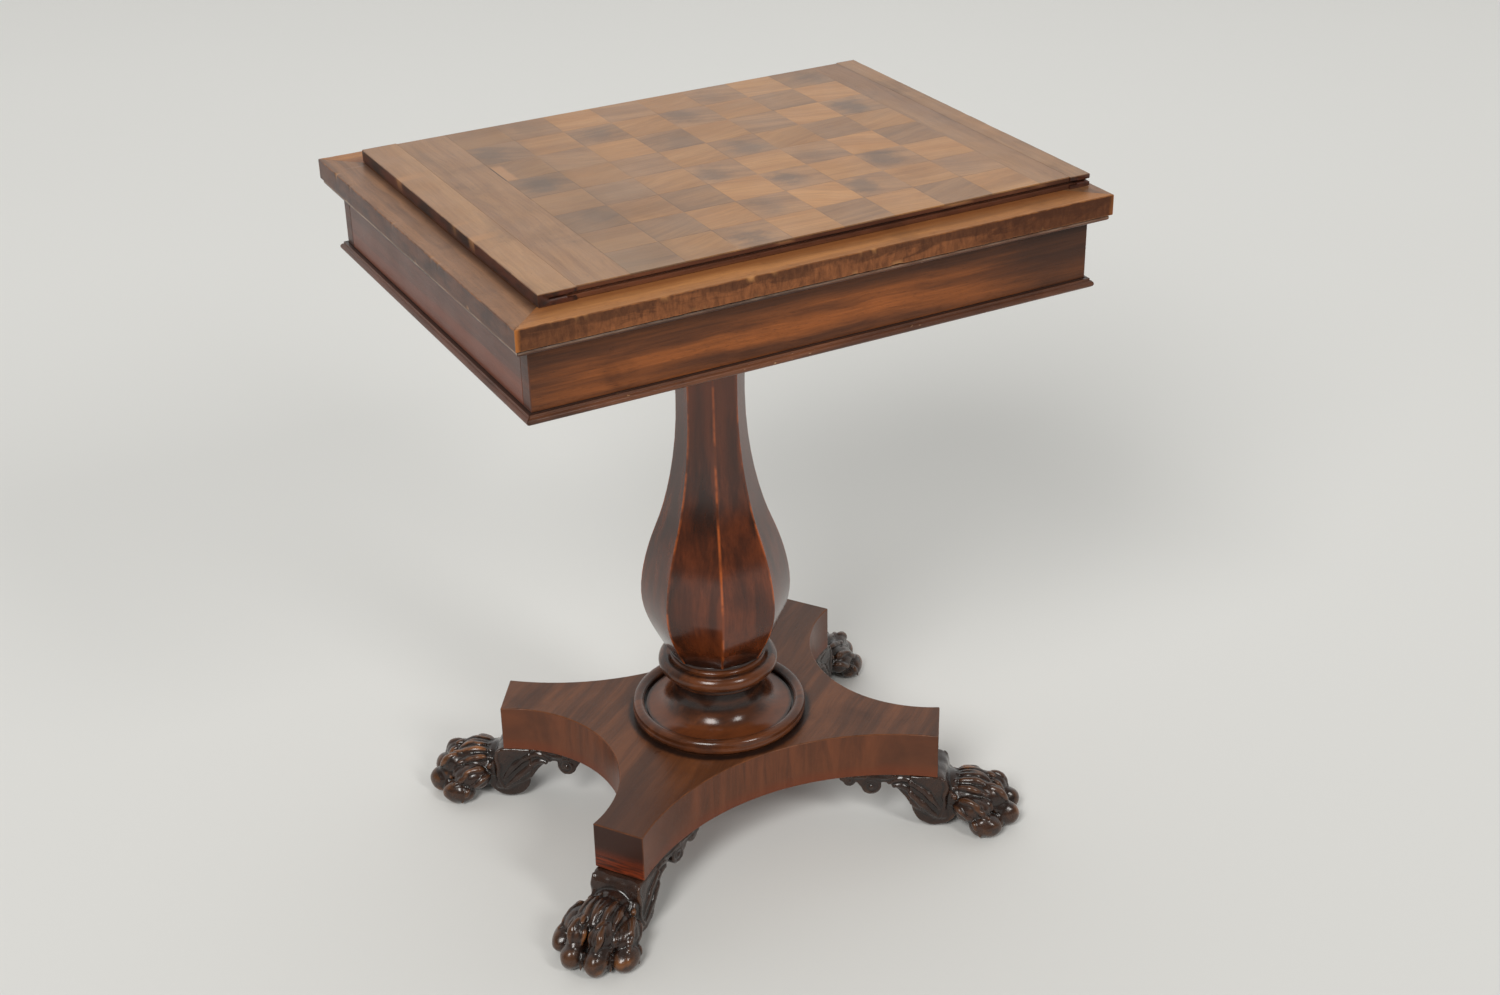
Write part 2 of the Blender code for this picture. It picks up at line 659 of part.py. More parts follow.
def baluster():
    """Eight flats, with their arrises on either side of the table's axes."""
    bm = bmesh.new()
    rings = []
    for radius, height in baluster_profile():
        ring = []
        for side in range(BALUSTER_SIDES):
            turn = 2 * math.pi * (side + 0.5) / BALUSTER_SIDES
            ring.append(bm.verts.new((radius * math.cos(turn), radius * math.sin(turn), height)))
        rings.append(ring)
    for lower, upper in zip(rings, rings[1:]):
        for side in range(BALUSTER_SIDES):
            following = (side + 1) % BALUSTER_SIDES
            bm.faces.new((lower[side], lower[following], upper[following], upper[side]))
    bm.faces.new(rings[0])
    bm.faces.new(rings[-1])
    piece = place("baluster", mesh_from(bm, "baluster"), COLUMN_WOOD)
    tenon = bmesh.new()
    root = BALUSTER_TOP - TOP_TENON_LENGTH
    add_cylinder(tenon, TOP_TENON_RADIUS, root, BALUSTER_TOP + TOP_TENON_LENGTH, SPINDLE_SIDES)
    combine(piece, cutter("top_tenon", tenon), "UNION")
    bore = bmesh.new()
    low = BALUSTER_SEAT - SPINDLE_RADIUS
    high = BALUSTER_SEAT + SPINDLE_INTO_BALUSTER + GLUE_GAP
    add_cylinder(bore, BORE_RADIUS, low, high, SPINDLE_SIDES)
    combine(piece, cutter("baluster_bore", bore), "DIFFERENCE")


def turned_ring(name, outside):
    """A turned member threaded on the spindle: its outside profile runs from top to bottom."""
    profile = [(BORE_RADIUS, outside[0][1])] + outside + [(BORE_RADIUS, outside[-1][1])]
    bm = bmesh.new()
    add_turning(bm, profile, TURNED_SIDES, closed=True)
    place(name, mesh_from(bm, name), TURNED_WOOD)


def collar():
    """A fillet and a quirk over a fat bead."""
    top = COLLAR_SEAT + COLLAR_HEIGHT
    bead_radius = COLLAR_BEAD_HEIGHT / 2
    bead_middle = (COLLAR_RADIUS - bead_radius, COLLAR_SEAT + bead_radius)
    outside = [
        (COLLAR_FILLET_RADIUS, top),
        (COLLAR_FILLET_RADIUS, top - COLLAR_FILLET_HEIGHT),
        (COLLAR_FILLET_RADIUS - COLLAR_QUIRK_DEPTH, top - 2 * COLLAR_FILLET_HEIGHT),
    ]
    outside += arc(bead_middle, bead_radius, 90, -90, NOSE_STEPS + 2)
    turned_ring("collar", outside)


def socle_neck():
    """A fillet over a hollow neck that flares to a round plate."""
    top = NECK_SEAT + NECK_HEIGHT
    plate_top = NECK_SEAT + NECK_PLATE_EDGE
    hollow_top = top - NECK_FILLET_HEIGHT
    reach = NECK_PLATE_RADIUS - NECK_RADIUS
    rise = hollow_top - plate_top
    outside = [(NECK_FILLET_RADIUS, top), (NECK_FILLET_RADIUS, hollow_top)]
    for step in range(NOSE_STEPS + 2):
        share = step / (NOSE_STEPS + 1)
        inward = math.cos(math.pi / 2 * share) if share < 1 else 0.0
        fall = math.sin(math.pi / 2 * share)
        radius = NECK_PLATE_RADIUS - reach * inward ** NECK_HOLLOW_SQUARENESS
        outside.append((radius, hollow_top - rise * fall ** NECK_HOLLOW_SQUARENESS))
    outside.append((NECK_PLATE_RADIUS, NECK_SEAT))
    turned_ring("socle_neck", outside)


def base_ring():
    """A round rim about the recess that the neck's plate sits in."""
    floor = RING_SEAT + BASE_RING_FLOOR
    rim_inside = BASE_RING_RADIUS - BASE_RING_RIM
    half_rim = BASE_RING_RIM / 2
    shoulder = RING_SEAT + BASE_RING_HEIGHT - half_rim
    rim = arc((BASE_RING_RADIUS - half_rim, shoulder), half_rim, 180, 0, 2 * COVE_STEPS)
    foot = (BASE_RING_RADIUS - half_rim / 2, RING_SEAT)
    outside = [(rim_inside, floor)] + rim + [(BASE_RING_RADIUS, RING_SEAT + half_rim / 2), foot]
    turned_ring("base_ring", outside)


def wedge_shape(grow):
    """The wedge that spreads the spindle's lower end, or with grow its kerf."""
    low = FOOT_HEIGHT + SPINDLE_END_LIFT
    high = low + WEDGE_LENGTH + grow
    thick = WEDGE_THICK_END / 2 + grow
    thin = WEDGE_THIN_END / 2 + grow
    half = SPINDLE_RADIUS / 2 + grow
    bm = bmesh.new()
    outline = [(-thick, low - grow), (thick, low - grow), (thin, high), (-thin, high)]
    add_profile_prism(bm, outline, -half, half)
    return bm


def spindle():
    """The round tenon that runs from the baluster through the turned members and the platform."""
    bm = bmesh.new()
    low = FOOT_HEIGHT + SPINDLE_END_LIFT
    add_cylinder(bm, SPINDLE_RADIUS, low, BALUSTER_SEAT + SPINDLE_INTO_BALUSTER, SPINDLE_SIDES)
    piece = place("column_spindle", mesh_from(bm, "column_spindle"), PLAIN_WOOD)
    combine(piece, cutter("wedge_kerf", wedge_shape(GLUE_GAP)), "DIFFERENCE")
    place("spindle_wedge", mesh_from(wedge_shape(0.0), "spindle_wedge"), PLAIN_WOOD)


def column():
    baluster()
    spindle()
    collar()
    socle_neck()
    base_ring()


# Platform and feet

def cant_ends():
    """The two ends of the canted face in the +X +Y corner: first the one near X, then near Y."""
    across = Vector((-math.sin(CANT_ANGLE), math.cos(CANT_ANGLE))) * CANT_WIDTH / 2
    middle = Vector((CANT_CENTRE_X, CANT_CENTRE_Y))
    return middle - across, middle + across


def hollow_side(half_chord, chord_level, waist):
    """Points of a concave side from +half_chord to -half_chord, as (along, outward)."""
    sagitta = chord_level - waist
    radius = (half_chord ** 2 + sagitta ** 2) / (2 * sagitta)
    swing = math.asin(half_chord / radius)
    points = []
    for step in range(SIDE_ARC_STEPS + 1):
        turn = swing * (1 - 2 * step / SIDE_ARC_STEPS)
        points.append((radius * math.sin(turn), waist + radius - radius * math.cos(turn)))
    return points


def platform_outline(setback=0.0):
    """The platform in plan, its four hollow sides moved inwards by the setback."""
    near_x, near_y = cant_ends()
    long_side = hollow_side(near_y.x, near_y.y - setback, LONG_SIDE_WAIST - setback)
    short_side = hollow_side(near_x.y, near_x.x - setback, SHORT_SIDE_WAIST - setback)
    back = [(along, outward) for along, outward in long_side]
    left = [(-outward, along) for along, outward in short_side]
    front = [(-along, -outward) for along, outward in long_side]
    right = [(outward, -along) for along, outward in short_side]
    return back + left + front + right


def foot_frame(corner):
    """Where a foot stands in plan, and its turn about Z."""
    sign_x, sign_y = corner
    turn = math.atan2(sign_y * math.sin(CANT_ANGLE), sign_x * math.cos(CANT_ANGLE))
    return (sign_x * CANT_CENTRE_X, sign_y * CANT_CENTRE_Y, 0.0), turn


def add_dowel(bm, corner, grow):
    """The dowel that joins a foot to the platform, or with grow its bore."""
    location, turn = foot_frame(corner)
    x = location[0] - DOWEL_INSET * math.cos(turn)
    y = location[1] - DOWEL_INSET * math.sin(turn)
    low = FOOT_HEIGHT - DOWEL_INTO_FOOT - grow
    high = FOOT_HEIGHT + DOWEL_INTO_PLATFORM + grow
    add_cylinder(bm, DOWEL_RADIUS + grow, low, high, DOWEL_SIDES, x, y)


def foot_dowels():
    """The four dowels, and the cutter for their bores in the platform."""
    bores = bmesh.new()
    for corner_name, corner in CORNERS.items():
        add_dowel(bores, corner, GLUE_GAP)
        bm = bmesh.new()
        add_dowel(bm, corner, 0.0)
        name = "foot_dowel_" + corner_name
        place(name, mesh_from(bm, name), PLAIN_WOOD)
    return cutter("dowel_bores", bores)


def platform():
    bm = bmesh.new()
    add_prism(bm, platform_outline(), FOOT_HEIGHT, PLATFORM_TOP)
    piece = place("platform", mesh_from(bm, "platform"), PLATFORM_WOOD)
    bore = bmesh.new()
    add_cylinder(bore, BORE_RADIUS, FOOT_HEIGHT - BORE_RADIUS, PLATFORM_TOP + BORE_RADIUS, SPINDLE_SIDES)
    combine(piece, cutter("platform_bore", bore), "DIFFERENCE")
    combine(piece, foot_dowels(), "DIFFERENCE")


def heel_axis():
    """The middle of the heel's drum, as (out, up)."""
    return -SHANK_DEPTH + HEEL_INSET + HEEL_RADIUS, HEEL_LIFT + HEEL_RADIUS


def shank_shape():
    """The upright of the foot: flush under the platform, swelling to a shoulder in front."""
    heel_out, heel_up = heel_axis()
    top = FOOT_HEIGHT - GLUE_GAP
    shoulder = top - SHOULDER_DROP
    crown = [
        (SHOULDER_REACH * math.sin(math.pi / 2 * i / NOSE_STEPS),
         shoulder + SHOULDER_DROP * math.cos(math.pi / 2 * i / NOSE_STEPS))
        for i in range(NOSE_STEPS + 1)
    ]
    base = [(SHANK_BASE_REACH, SHANK_BASE_LIFT), (heel_out, SHANK_BASE_LIFT), (-SHANK_DEPTH, heel_up)]
    bm = bmesh.new()
    add_profile_prism(bm, [(-SHANK_DEPTH, top)] + crown + base, -SHANK_WIDTH / 2, SHANK_WIDTH / 2)
    upright = [e for e in bm.edges if abs(e.verts[0].co.y - e.verts[1].co.y) < GLUE_GAP]
    front = [e for e in upright if min(v.co.x for v in e.verts) > 0 and e.calc_length() > GLUE_GAP]
    bmesh.ops.bevel(
        bm, geom=front, offset=SHANK_EDGE_ROUND, affect="EDGES", segments=2, profile=0.5, material=-1,
    )
    return bm


def heel_shape():
    """The rounded heel, a drum lying across the foot."""
    across = Matrix.Rotation(math.pi / 2, 4, "X")
    out, up = heel_axis()
    middle = Matrix.Translation((out, 0.0, up))
    bm = bmesh.new()
    bmesh.ops.create_cone(
        bm, cap_ends=True, segments=HEEL_SIDES, radius1=HEEL_RADIUS, radius2=HEEL_RADIUS,
        depth=HEEL_WIDTH, matrix=middle @ across,
    )
    return bm


def paw_form_shapes():
    shapes = []
    for middle, radii in PAW_FORMS.values():
        for side in ((-1, 1) if middle[1] else (1,)):
            bm = bmesh.new()
            at = Matrix.Translation((middle[0], side * middle[1], middle[2]))
            bmesh.ops.create_uvsphere(
                bm, u_segments=PAW_FORM_COLUMNS, v_segments=PAW_FORM_ROWS, radius=1.0,
                matrix=at @ Matrix.Diagonal((*radii, 1.0)),
            )
            shapes.append(bm)
    return shapes


def foot_mesh():
    """One foot, fused from its shank, heel and rounded forms, with a flat sole and a dowel bore."""
    shapes = [shank_shape(), heel_shape()] + paw_form_shapes()
    helpers = [cutter("foot_form", bm) for bm in shapes]
    body = helpers[0]
    for other in helpers[1:]:
        combine(body, other, "UNION")
    sole = bmesh.new()
    add_box(sole, (-CANT_WIDTH, -CANT_WIDTH, -CANT_WIDTH), (2 * CANT_WIDTH, CANT_WIDTH, 0.0))
    helpers.append(cutter("sole_plane", sole))
    combine(body, helpers[-1], "DIFFERENCE")
    bore = bmesh.new()
    low = FOOT_HEIGHT - DOWEL_INTO_FOOT - GLUE_GAP
    add_cylinder(bore, DOWEL_BORE_RADIUS, low, FOOT_HEIGHT + DOWEL_RADIUS, DOWEL_SIDES, -DOWEL_INSET)
    helpers.append(cutter("foot_bore", bore))
    combine(body, helpers[-1], "DIFFERENCE")
    bpy.context.view_layer.update()
    evaluated = body.evaluated_get(bpy.context.evaluated_depsgraph_get())
    mesh = bpy.data.meshes.new_from_object(evaluated)
    mesh.name = "paw_foot"
    for helper in helpers:
        bpy.data.objects.remove(helper, do_unlink=True)
    return mesh


def bracket_mesh():
    """A leaf bracket in side outline: a blade that hollows up from the heel to two scrolls."""
    top = FOOT_HEIGHT - GLUE_GAP
    root = -SHANK_DEPTH - GLUE_GAP
    scroll_x = root - SCROLL_INSET
    tip_x = root - TIP_INSET
    blade_end = scroll_x + SCROLL_RADIUS
    blade = []
    for step in range(SCROLL_STEPS + 1):
        share = step / SCROLL_STEPS
        depth = BRACKET_BLADE + (BRACKET_ROOT_HEIGHT - BRACKET_BLADE) * (1 - share) ** 2
        blade.append((root + (blade_end - root) * share, top - depth))
    sweep = (SCROLL_SWEEP_START, SCROLL_SWEEP_END, SCROLL_STEPS)
    scroll = arc((scroll_x, top - SCROLL_DROP), SCROLL_RADIUS, *sweep)
    tip = arc((tip_x, top - TIP_DROP), TIP_RADIUS, *sweep)
    end = (root - BRACKET_LENGTH, top - TIP_DROP / 2)
    outline = [(root, top)] + blade + scroll + tip + [end, (end[0], top)]
    bm = bmesh.new()
    add_profile_prism(bm, outline, -BRACKET_HALF_WIDTH, BRACKET_HALF_WIDTH)
    return mesh_from(bm, "leaf_bracket")


def bracket_trim():
    """The room under the platform, by which the brackets' ends follow its hollow sides."""
    bm = bmesh.new()
    add_prism(bm, platform_outline(BRACKET_SETBACK), FOOT_HEIGHT - PLATFORM_THICKNESS, PLATFORM_TOP)
    return cutter("bracket_trim", bm)


def feet():
    paw = foot_mesh()
    bracket = bracket_mesh()
    trim = bracket_trim()
    for corner_name, corner in CORNERS.items():
        location, turn = foot_frame(corner)
        place("paw_" + corner_name, paw, CARVED_WOOD, location, turn)
        piece = place("leaf_bracket_" + corner_name, bracket, CARVED_WOOD, location, turn)
        combine(piece, trim, "INTERSECT")


clear_scene()

BOARD_TOP = finish("board_top", (0.34, 0.18, 0.085), 0.42)
BOARD_GROUND = finish("board_ground", (0.16, 0.065, 0.03), 0.5)
DARK_SQUARE = finish("dark_square", (0.20, 0.11, 0.062), 0.42)
LIGHT_SQUARE = finish("light_square", (0.42, 0.22, 0.095), 0.42)
FRAME_WOOD = finish("frame_wood", (0.24, 0.11, 0.05), 0.4)
FRIEZE_WOOD = finish("frieze_wood", (0.11, 0.042, 0.022), 0.35)
MOULDING_WOOD = finish("moulding_wood", (0.09, 0.034, 0.02), 0.35)
COLUMN_WOOD = finish("column_wood", (0.12, 0.036, 0.018), 0.28)
TURNED_WOOD = finish("turned_wood", (0.15, 0.05, 0.022), 0.25)
PLATFORM_WOOD = finish("platform_wood", (0.13, 0.05, 0.028), 0.35)
CARVED_WOOD = finish("carved_wood", (0.06, 0.024, 0.014), 0.3)
PLAIN_WOOD = finish("plain_wood", (0.35, 0.21, 0.11), 0.6)
BAIZE = finish("baize", (0.035, 0.085, 0.045), 0.95)
IRON = finish("iron", (0.12, 0.11, 0.10), 0.5, 1.0)

chessboard()
top_frame()
frieze_box()
column()
platform()
feet()
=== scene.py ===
"""Looks for the games table: worn veneers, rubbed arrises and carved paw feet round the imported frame.

Metres, +Z up, -Y to the front. Pieces are made in place, so every object sits at the origin.
"""
import math
from functools import partial, partialmethod

import bmesh
import bpy
import numpy as np
from mathutils import Matrix, Vector, noise
from mathutils.bvhtree import BVHTree


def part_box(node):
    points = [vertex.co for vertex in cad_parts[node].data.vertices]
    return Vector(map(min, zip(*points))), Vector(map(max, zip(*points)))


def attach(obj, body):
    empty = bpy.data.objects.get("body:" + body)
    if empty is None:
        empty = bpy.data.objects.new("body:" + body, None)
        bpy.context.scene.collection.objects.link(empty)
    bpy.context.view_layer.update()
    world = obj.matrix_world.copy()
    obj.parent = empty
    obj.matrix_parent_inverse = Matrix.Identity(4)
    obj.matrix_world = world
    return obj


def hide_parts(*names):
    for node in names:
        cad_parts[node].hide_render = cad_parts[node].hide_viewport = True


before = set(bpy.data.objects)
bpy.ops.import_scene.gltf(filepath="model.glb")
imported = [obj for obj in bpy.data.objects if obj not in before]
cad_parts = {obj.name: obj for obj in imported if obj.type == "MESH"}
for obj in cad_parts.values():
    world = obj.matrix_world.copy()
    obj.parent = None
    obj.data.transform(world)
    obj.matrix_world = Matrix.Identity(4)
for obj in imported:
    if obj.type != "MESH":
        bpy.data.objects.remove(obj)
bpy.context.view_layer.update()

MM = 0.001
TABLE = "table"
BOARD = "chessboard"
SIDES = ("front", "right", "back", "left")
CORNERS = {"front_right": (1, 1), "front_left": (-1, 1), "back_right": (1, -1), "back_left": (-1, -1)}
GLUE_GAP = 0.0003
# What a veneer grows on each side to close its joints
JOINT_GROWTH = 0.00013

# Sizes shared with the solids
SQUARE = 0.052
SQUARES_LEFT = -0.178
SQUARES_FRONT = -0.208
# Middle and half size of each box
BOARD_BOX = ((0.015, 0.0, 0.7292), (0.278, 0.2097, 0.0059))
FRAME_BOX = ((0.0, 0.0, 0.713), (0.298, 0.241, 0.010))
FRIEZE_BOX = ((0.0, 0.0, 0.671), (0.282, 0.225, 0.200))
BOARD_TOP = BOARD_BOX[0][2] + BOARD_BOX[1][2]
BOTTOM_BOARD_HALF = (0.268, 0.211)
BETWEEN_MOULDINGS = 0.670
PLATFORM_LOW = 0.067
PLATFORM_HIGH = 0.120
CANT_CENTRE = (0.190, 0.1415)
CANT_ANGLE = math.radians(34.2)
CANT_WIDTH = 0.057
CANT_FACE = CANT_CENTRE[0] * math.cos(CANT_ANGLE) + CANT_CENTRE[1] * math.sin(CANT_ANGLE)
LONG_WAIST = 0.100
SHORT_WAIST = 0.134
# Where a foot stands at the front right corner
FOOT_PLACE = (CANT_CENTRE[0], -CANT_CENTRE[1], 0.0)
FOOT_STAND = Matrix.Translation(FOOT_PLACE) @ Matrix.Rotation(-CANT_ANGLE, 4, "Z")


# Node trees

class Wires:
    """A node tree, with short calls for the nodes that the finishes use."""

    def __init__(self, tree):
        self.tree = tree

    def feed(self, socket, value):
        if isinstance(value, bpy.types.NodeSocket):
            self.tree.links.new(value, socket)
        else:
            socket.default_value = (*value, 1.0) if socket.type == "RGBA" else value

    def node(self, kind, feeds=None, **settings):
        made = self.tree.nodes.new(kind)
        for name, value in settings.items():
            setattr(made, name, value)
        for socket, value in (feeds or {}).items():
            self.feed(made.inputs[socket], value)
        return made

    def math(self, operation, a, b=0.0):
        return self.node("ShaderNodeMath", {0: a, 1: b}, operation=operation).outputs[0]

    times = partialmethod(math, "MULTIPLY")
    plus = partialmethod(math, "ADD")
    less = partialmethod(math, "SUBTRACT")
    least = partialmethod(math, "MINIMUM")
    most = partialmethod(math, "MAXIMUM")
    size = partialmethod(math, "ABSOLUTE")

    def swing(self, value, reach):
        """0 to 1 turned into a swing to both sides of nought."""
        return self.times(self.less(value, 0.5), reach)

    def vector(self, operation, a, b=(0, 0, 0)):
        return self.node("ShaderNodeVectorMath", {0: a, 1: b}, operation=operation).outputs[0]

    from_point = partialmethod(vector, "SUBTRACT")
    # All four corners folded onto the +X +Y one
    folded = partialmethod(vector, "ABSOLUTE")

    def length(self, vector):
        return self.node("ShaderNodeVectorMath", {0: vector}, operation="LENGTH").outputs["Value"]

    def scaled(self, vector, scale):
        return self.node("ShaderNodeVectorMath", {0: vector, "Scale": scale}, operation="SCALE").outputs[0]

    def parts(self, vector):
        return self.node("ShaderNodeSeparateXYZ", {0: vector}).outputs

    def join(self, x, y, z):
        return self.node("ShaderNodeCombineXYZ", {0: x, 1: y, 2: z}).outputs[0]

    def mapped(self, vector, scale=(1, 1, 1), turn=(0, 0, 0), shift=(0, 0, 0)):
        turn = [math.radians(a) for a in turn]
        feeds = {"Vector": vector, "Location": shift, "Rotation": turn, "Scale": scale}
        return self.node("ShaderNodeMapping", feeds).outputs[0]

    def noise(self, vector, scale=1.0, detail=2.0, rough=0.5, warp=0.0):
        feeds = {"Vector": vector, "Scale": scale, "Detail": detail, "Roughness": rough, "Distortion": warp}
        return self.node("ShaderNodeTexNoise", feeds).outputs["Fac"]

    def figure(self, vector, scale, detail, rough=0.5, warp=0.0):
        """Noise drawn out by its own scale along each axis."""
        return self.noise(self.mapped(vector, scale), 1.0, detail, rough, warp)

    def attribute(self, name):
        return self.node("ShaderNodeAttribute", attribute_name=name).outputs["Fac"]

    def smooth(self, value, low, high):
        """0 below low, 1 above high, eased between; falling if low is above high."""
        feeds = {"Value": value, "From Min": low, "From Max": high}
        return self.node("ShaderNodeMapRange", feeds, interpolation_type="SMOOTHSTEP").outputs[0]

    def ragged(self, value, uneven, reach, low, high):
        """A smooth step whose line wanders with the uneven value."""
        return self.smooth(self.plus(value, self.times(uneven, reach)), low, high)

    def span(self, value, low, high):
        """0 to 1 spread from low to high."""
        return self.node("ShaderNodeMapRange", {"Value": value, "To Min": low, "To Max": high}).outputs[0]

    def mix(self, share, a, b, blend="MIX"):
        made = self.node("ShaderNodeMix", {0: share, 6: a, 7: b}, data_type="RGBA", blend_type=blend)
        return made.outputs[2]

    def over(self, tone, mask, strength, laid_on):
        """A second tone laid over the first where the mask is, at that strength."""
        return self.mix(self.times(mask, strength), tone, laid_on)

    def shaded(self, tone, shade):
        return self.mix(1.0, tone, self.join(shade, shade, shade), "MULTIPLY")

    def place(self, group, feeds):
        return self.node("ShaderNodeGroup", feeds, node_tree=group).outputs


def node_group(name, inputs, outputs):
    """A shader node group: the group itself, its wires, its inputs and its output sockets."""
    group = bpy.data.node_groups.new(name, "ShaderNodeTree")
    for socket, kind in inputs.items():
        group.interface.new_socket(socket, in_out="INPUT", socket_type="NodeSocket" + kind)
    for socket, kind in outputs.items():
        group.interface.new_socket(socket, in_out="OUTPUT", socket_type="NodeSocket" + kind)
    wires = Wires(group)
    entry = wires.node("NodeGroupInput").outputs
    leave = wires.node("NodeGroupOutput").inputs
    return group, wires, entry, leave


def timber_group():
    """Grain along X: broad bands, dark streaks, fine lines and open pores."""
    inputs = {
        "Vector": "Vector", "Light": "Color", "Middle": "Color", "Dark": "Color",
        "Streak": "Float", "Pores": "Float",
    }
    group, w, entry, leave = node_group("timber", inputs, {"Color": "Color", "Height": "Float"})
    drift = w.swing(w.noise(entry["Vector"], 7.0, 2.0), 0.022)
    bent = w.vector("ADD", entry["Vector"], w.join(0.0, drift, drift))
    bands = w.figure(bent, (3.0, 55.0, 55.0), 4.0, 0.6)
    streaks = w.noise(w.mapped(bent, (2.2, 34.0, 34.0), shift=(4.1, 2.7, 9.3)), 1.0, 3.0, 0.62)
    lines = w.figure(bent, (12.0, 480.0, 480.0), 2.0, 0.6)
    pores = w.smooth(w.figure(bent, (130.0, 1900.0, 1900.0), 1.0), 0.60, 0.72)
    body = w.mix(w.smooth(bands, 0.36, 0.64), entry["Middle"], entry["Light"])
    streaked = w.over(body, w.smooth(streaks, 0.47, 0.66), entry["Streak"], entry["Dark"])
    lined = w.shaded(streaked, w.span(lines, 0.72, 1.28))
    w.feed(leave["Color"], w.over(lined, pores, entry["Pores"], entry["Dark"]))
    w.feed(leave["Height"], w.less(w.times(lines, 0.5), pores))
    return group


def grime_group():
    """Soft dark stains, pale bloom and the uneven gloss of old wax."""
    inputs = {"Vector": "Vector", "Scale": "Float"}
    outputs = {"Stain": "Float", "Bloom": "Float", "Gloss": "Float"}
    group, w, entry, leave = node_group("grime", inputs, outputs)
    scaled = w.scaled(entry["Vector"], entry["Scale"])
    w.feed(leave["Stain"], w.smooth(w.noise(scaled, 1.0, 4.0, 0.62, 0.4), 0.52, 0.72))
    w.feed(leave["Bloom"], w.smooth(w.noise(w.mapped(scaled, shift=(7, 3, 5)), 0.6, 3.0, 0.55), 0.48, 0.70))
    w.feed(leave["Gloss"], w.noise(w.mapped(scaled, shift=(1, 8, 2)), 2.6, 3.0, 0.6))
    return group


TIMBER = timber_group()
GRIME = grime_group()


def timber(w, along, light, middle, dark, streak, pores):
    tones = {"Light": light, "Middle": middle, "Dark": dark}
    return w.place(TIMBER, {"Vector": along, **tones, "Streak": streak, "Pores": pores})


def grime_of(w, coords, scale):
    return w.place(GRIME, {"Vector": coords, "Scale": scale})


# Distances on the solids' surfaces

def box_edge(box):
    """Distance from a point of a box's surface to the box's nearest edge."""
    middle, half = box

    def distance(w, coords):
        x, y, z = w.parts(w.from_point(half, w.folded(w.from_point(coords, middle))))
        least, most = w.least(x, y), w.most(x, y)
        return w.most(least, w.least(most, z))
    return distance


def flat_length(w, a, b):
    return w.length(w.join(a, b, 0.0))


def column_edge(w, coords):
    """Distance across a flat of the column to its nearest arris."""
    x, y, _ = w.parts(coords)
    turn = w.math("DIVIDE", w.math("ARCTAN2", y, x), math.pi / 4)
    phase = w.size(w.less(w.math("FRACT", w.plus(turn, 8.0)), 0.5))
    return w.times(w.times(phase, math.pi / 4), flat_length(w, x, y))


def cant_ends():
    """The canted corner's two ends in the +X +Y corner: the one near X, then the one near Y."""
    dx = math.sin(CANT_ANGLE) * CANT_WIDTH / 2
    dy = math.cos(CANT_ANGLE) * CANT_WIDTH / 2
    return (CANT_CENTRE[0] + dx, CANT_CENTRE[1] - dy), (CANT_CENTRE[0] - dx, CANT_CENTRE[1] + dy)


def side_radius(half_chord, chord_level, waist):
    sagitta = chord_level - waist
    return (half_chord ** 2 + sagitta ** 2) / (2 * sagitta)


def past_cant(w, coords):
    """How far a point lies outside the plane of its canted corner."""
    x, y, _ = w.parts(w.folded(coords))
    lean = w.plus(w.times(x, math.cos(CANT_ANGLE)), w.times(y, math.sin(CANT_ANGLE)))
    return w.less(lean, CANT_FACE)


def platform_edge(w, coords):
    """Distance from a point of the platform's surface to its nearest arris."""
    x, y, z = w.parts(w.folded(coords))
    near_x, near_y = cant_ends()
    sides = []
    for along, outward, chord, waist in ((x, y, near_y, LONG_WAIST), (y, x, near_x[::-1], SHORT_WAIST)):
        radius = side_radius(chord[0], chord[1], waist)
        sides.append(w.less(flat_length(w, along, w.less(outward, waist + radius)), radius))
    cant = w.times(past_cant(w, coords), -1.0)
    nearest, other = w.least(*sides), w.most(*sides)
    side = w.least(nearest, cant)
    level = w.least(w.less(PLATFORM_HIGH, z), w.less(z, PLATFORM_LOW))
    upright = w.least(w.most(nearest, cant), other)
    return w.least(w.most(side, level), w.most(upright, side))


# Finishes

STAIN_TINT = (0.35, 0.32, 0.32)
BARE_CHIP = (0.42, 0.20, 0.075)
# Black of the painted shade and old wax in the grooves
SHADE_AND_WAX_BLACK = (0.012, 0.007, 0.006)
# Radius, height and width of each groove darkened with painted shade and old wax
RING_GROOVES = [(0.0930, PLATFORM_HIGH, 0.0075)]
TURNED_GROOVES = [
    (0.0525, 0.2032, 0.0060), (0.0565, 0.1965, 0.0045), (0.0530, 0.1770, 0.0060), (0.0460, 0.1640, 0.0085),
    (0.0455, 0.1500, 0.0080), (0.0790, 0.1270, 0.0060), (0.0895, 0.1255, 0.0025), (0.0925, 0.1215, 0.0030),
]
GRAIN_RELIEF = 0.0006
BOARD_WAX = {"gloss": 0.34, "dull": 0.56, "coat": 0.10, "coat_rough": 0.3, "specular": 0.5}
CARVING_WAX = {"gloss": 0.17, "dull": 0.36, "coat": 0.32, "coat_rough": 0.09, "specular": 0.40}


def new_finish(name):
    """An empty material: its wires, its shader and its Object coordinates."""
    material = bpy.data.materials.new(name)
    material.use_nodes = True
    w = Wires(material.node_tree)
    shader = material.node_tree.nodes["Principled BSDF"]
    coords = w.node("ShaderNodeTexCoord").outputs["Object"]
    return material, w, shader, coords


def polish(w, shader, unevenness, gloss, dull, coat, coat_rough, specular):
    """Roughness from a 0 to 1 unevenness, under a coat of wax."""
    w.feed(shader.inputs["Roughness"], w.span(unevenness, gloss, dull))
    shader.inputs["Coat Weight"].default_value = coat
    shader.inputs["Coat Roughness"].default_value = coat_rough
    shader.inputs["Specular IOR Level"].default_value = specular


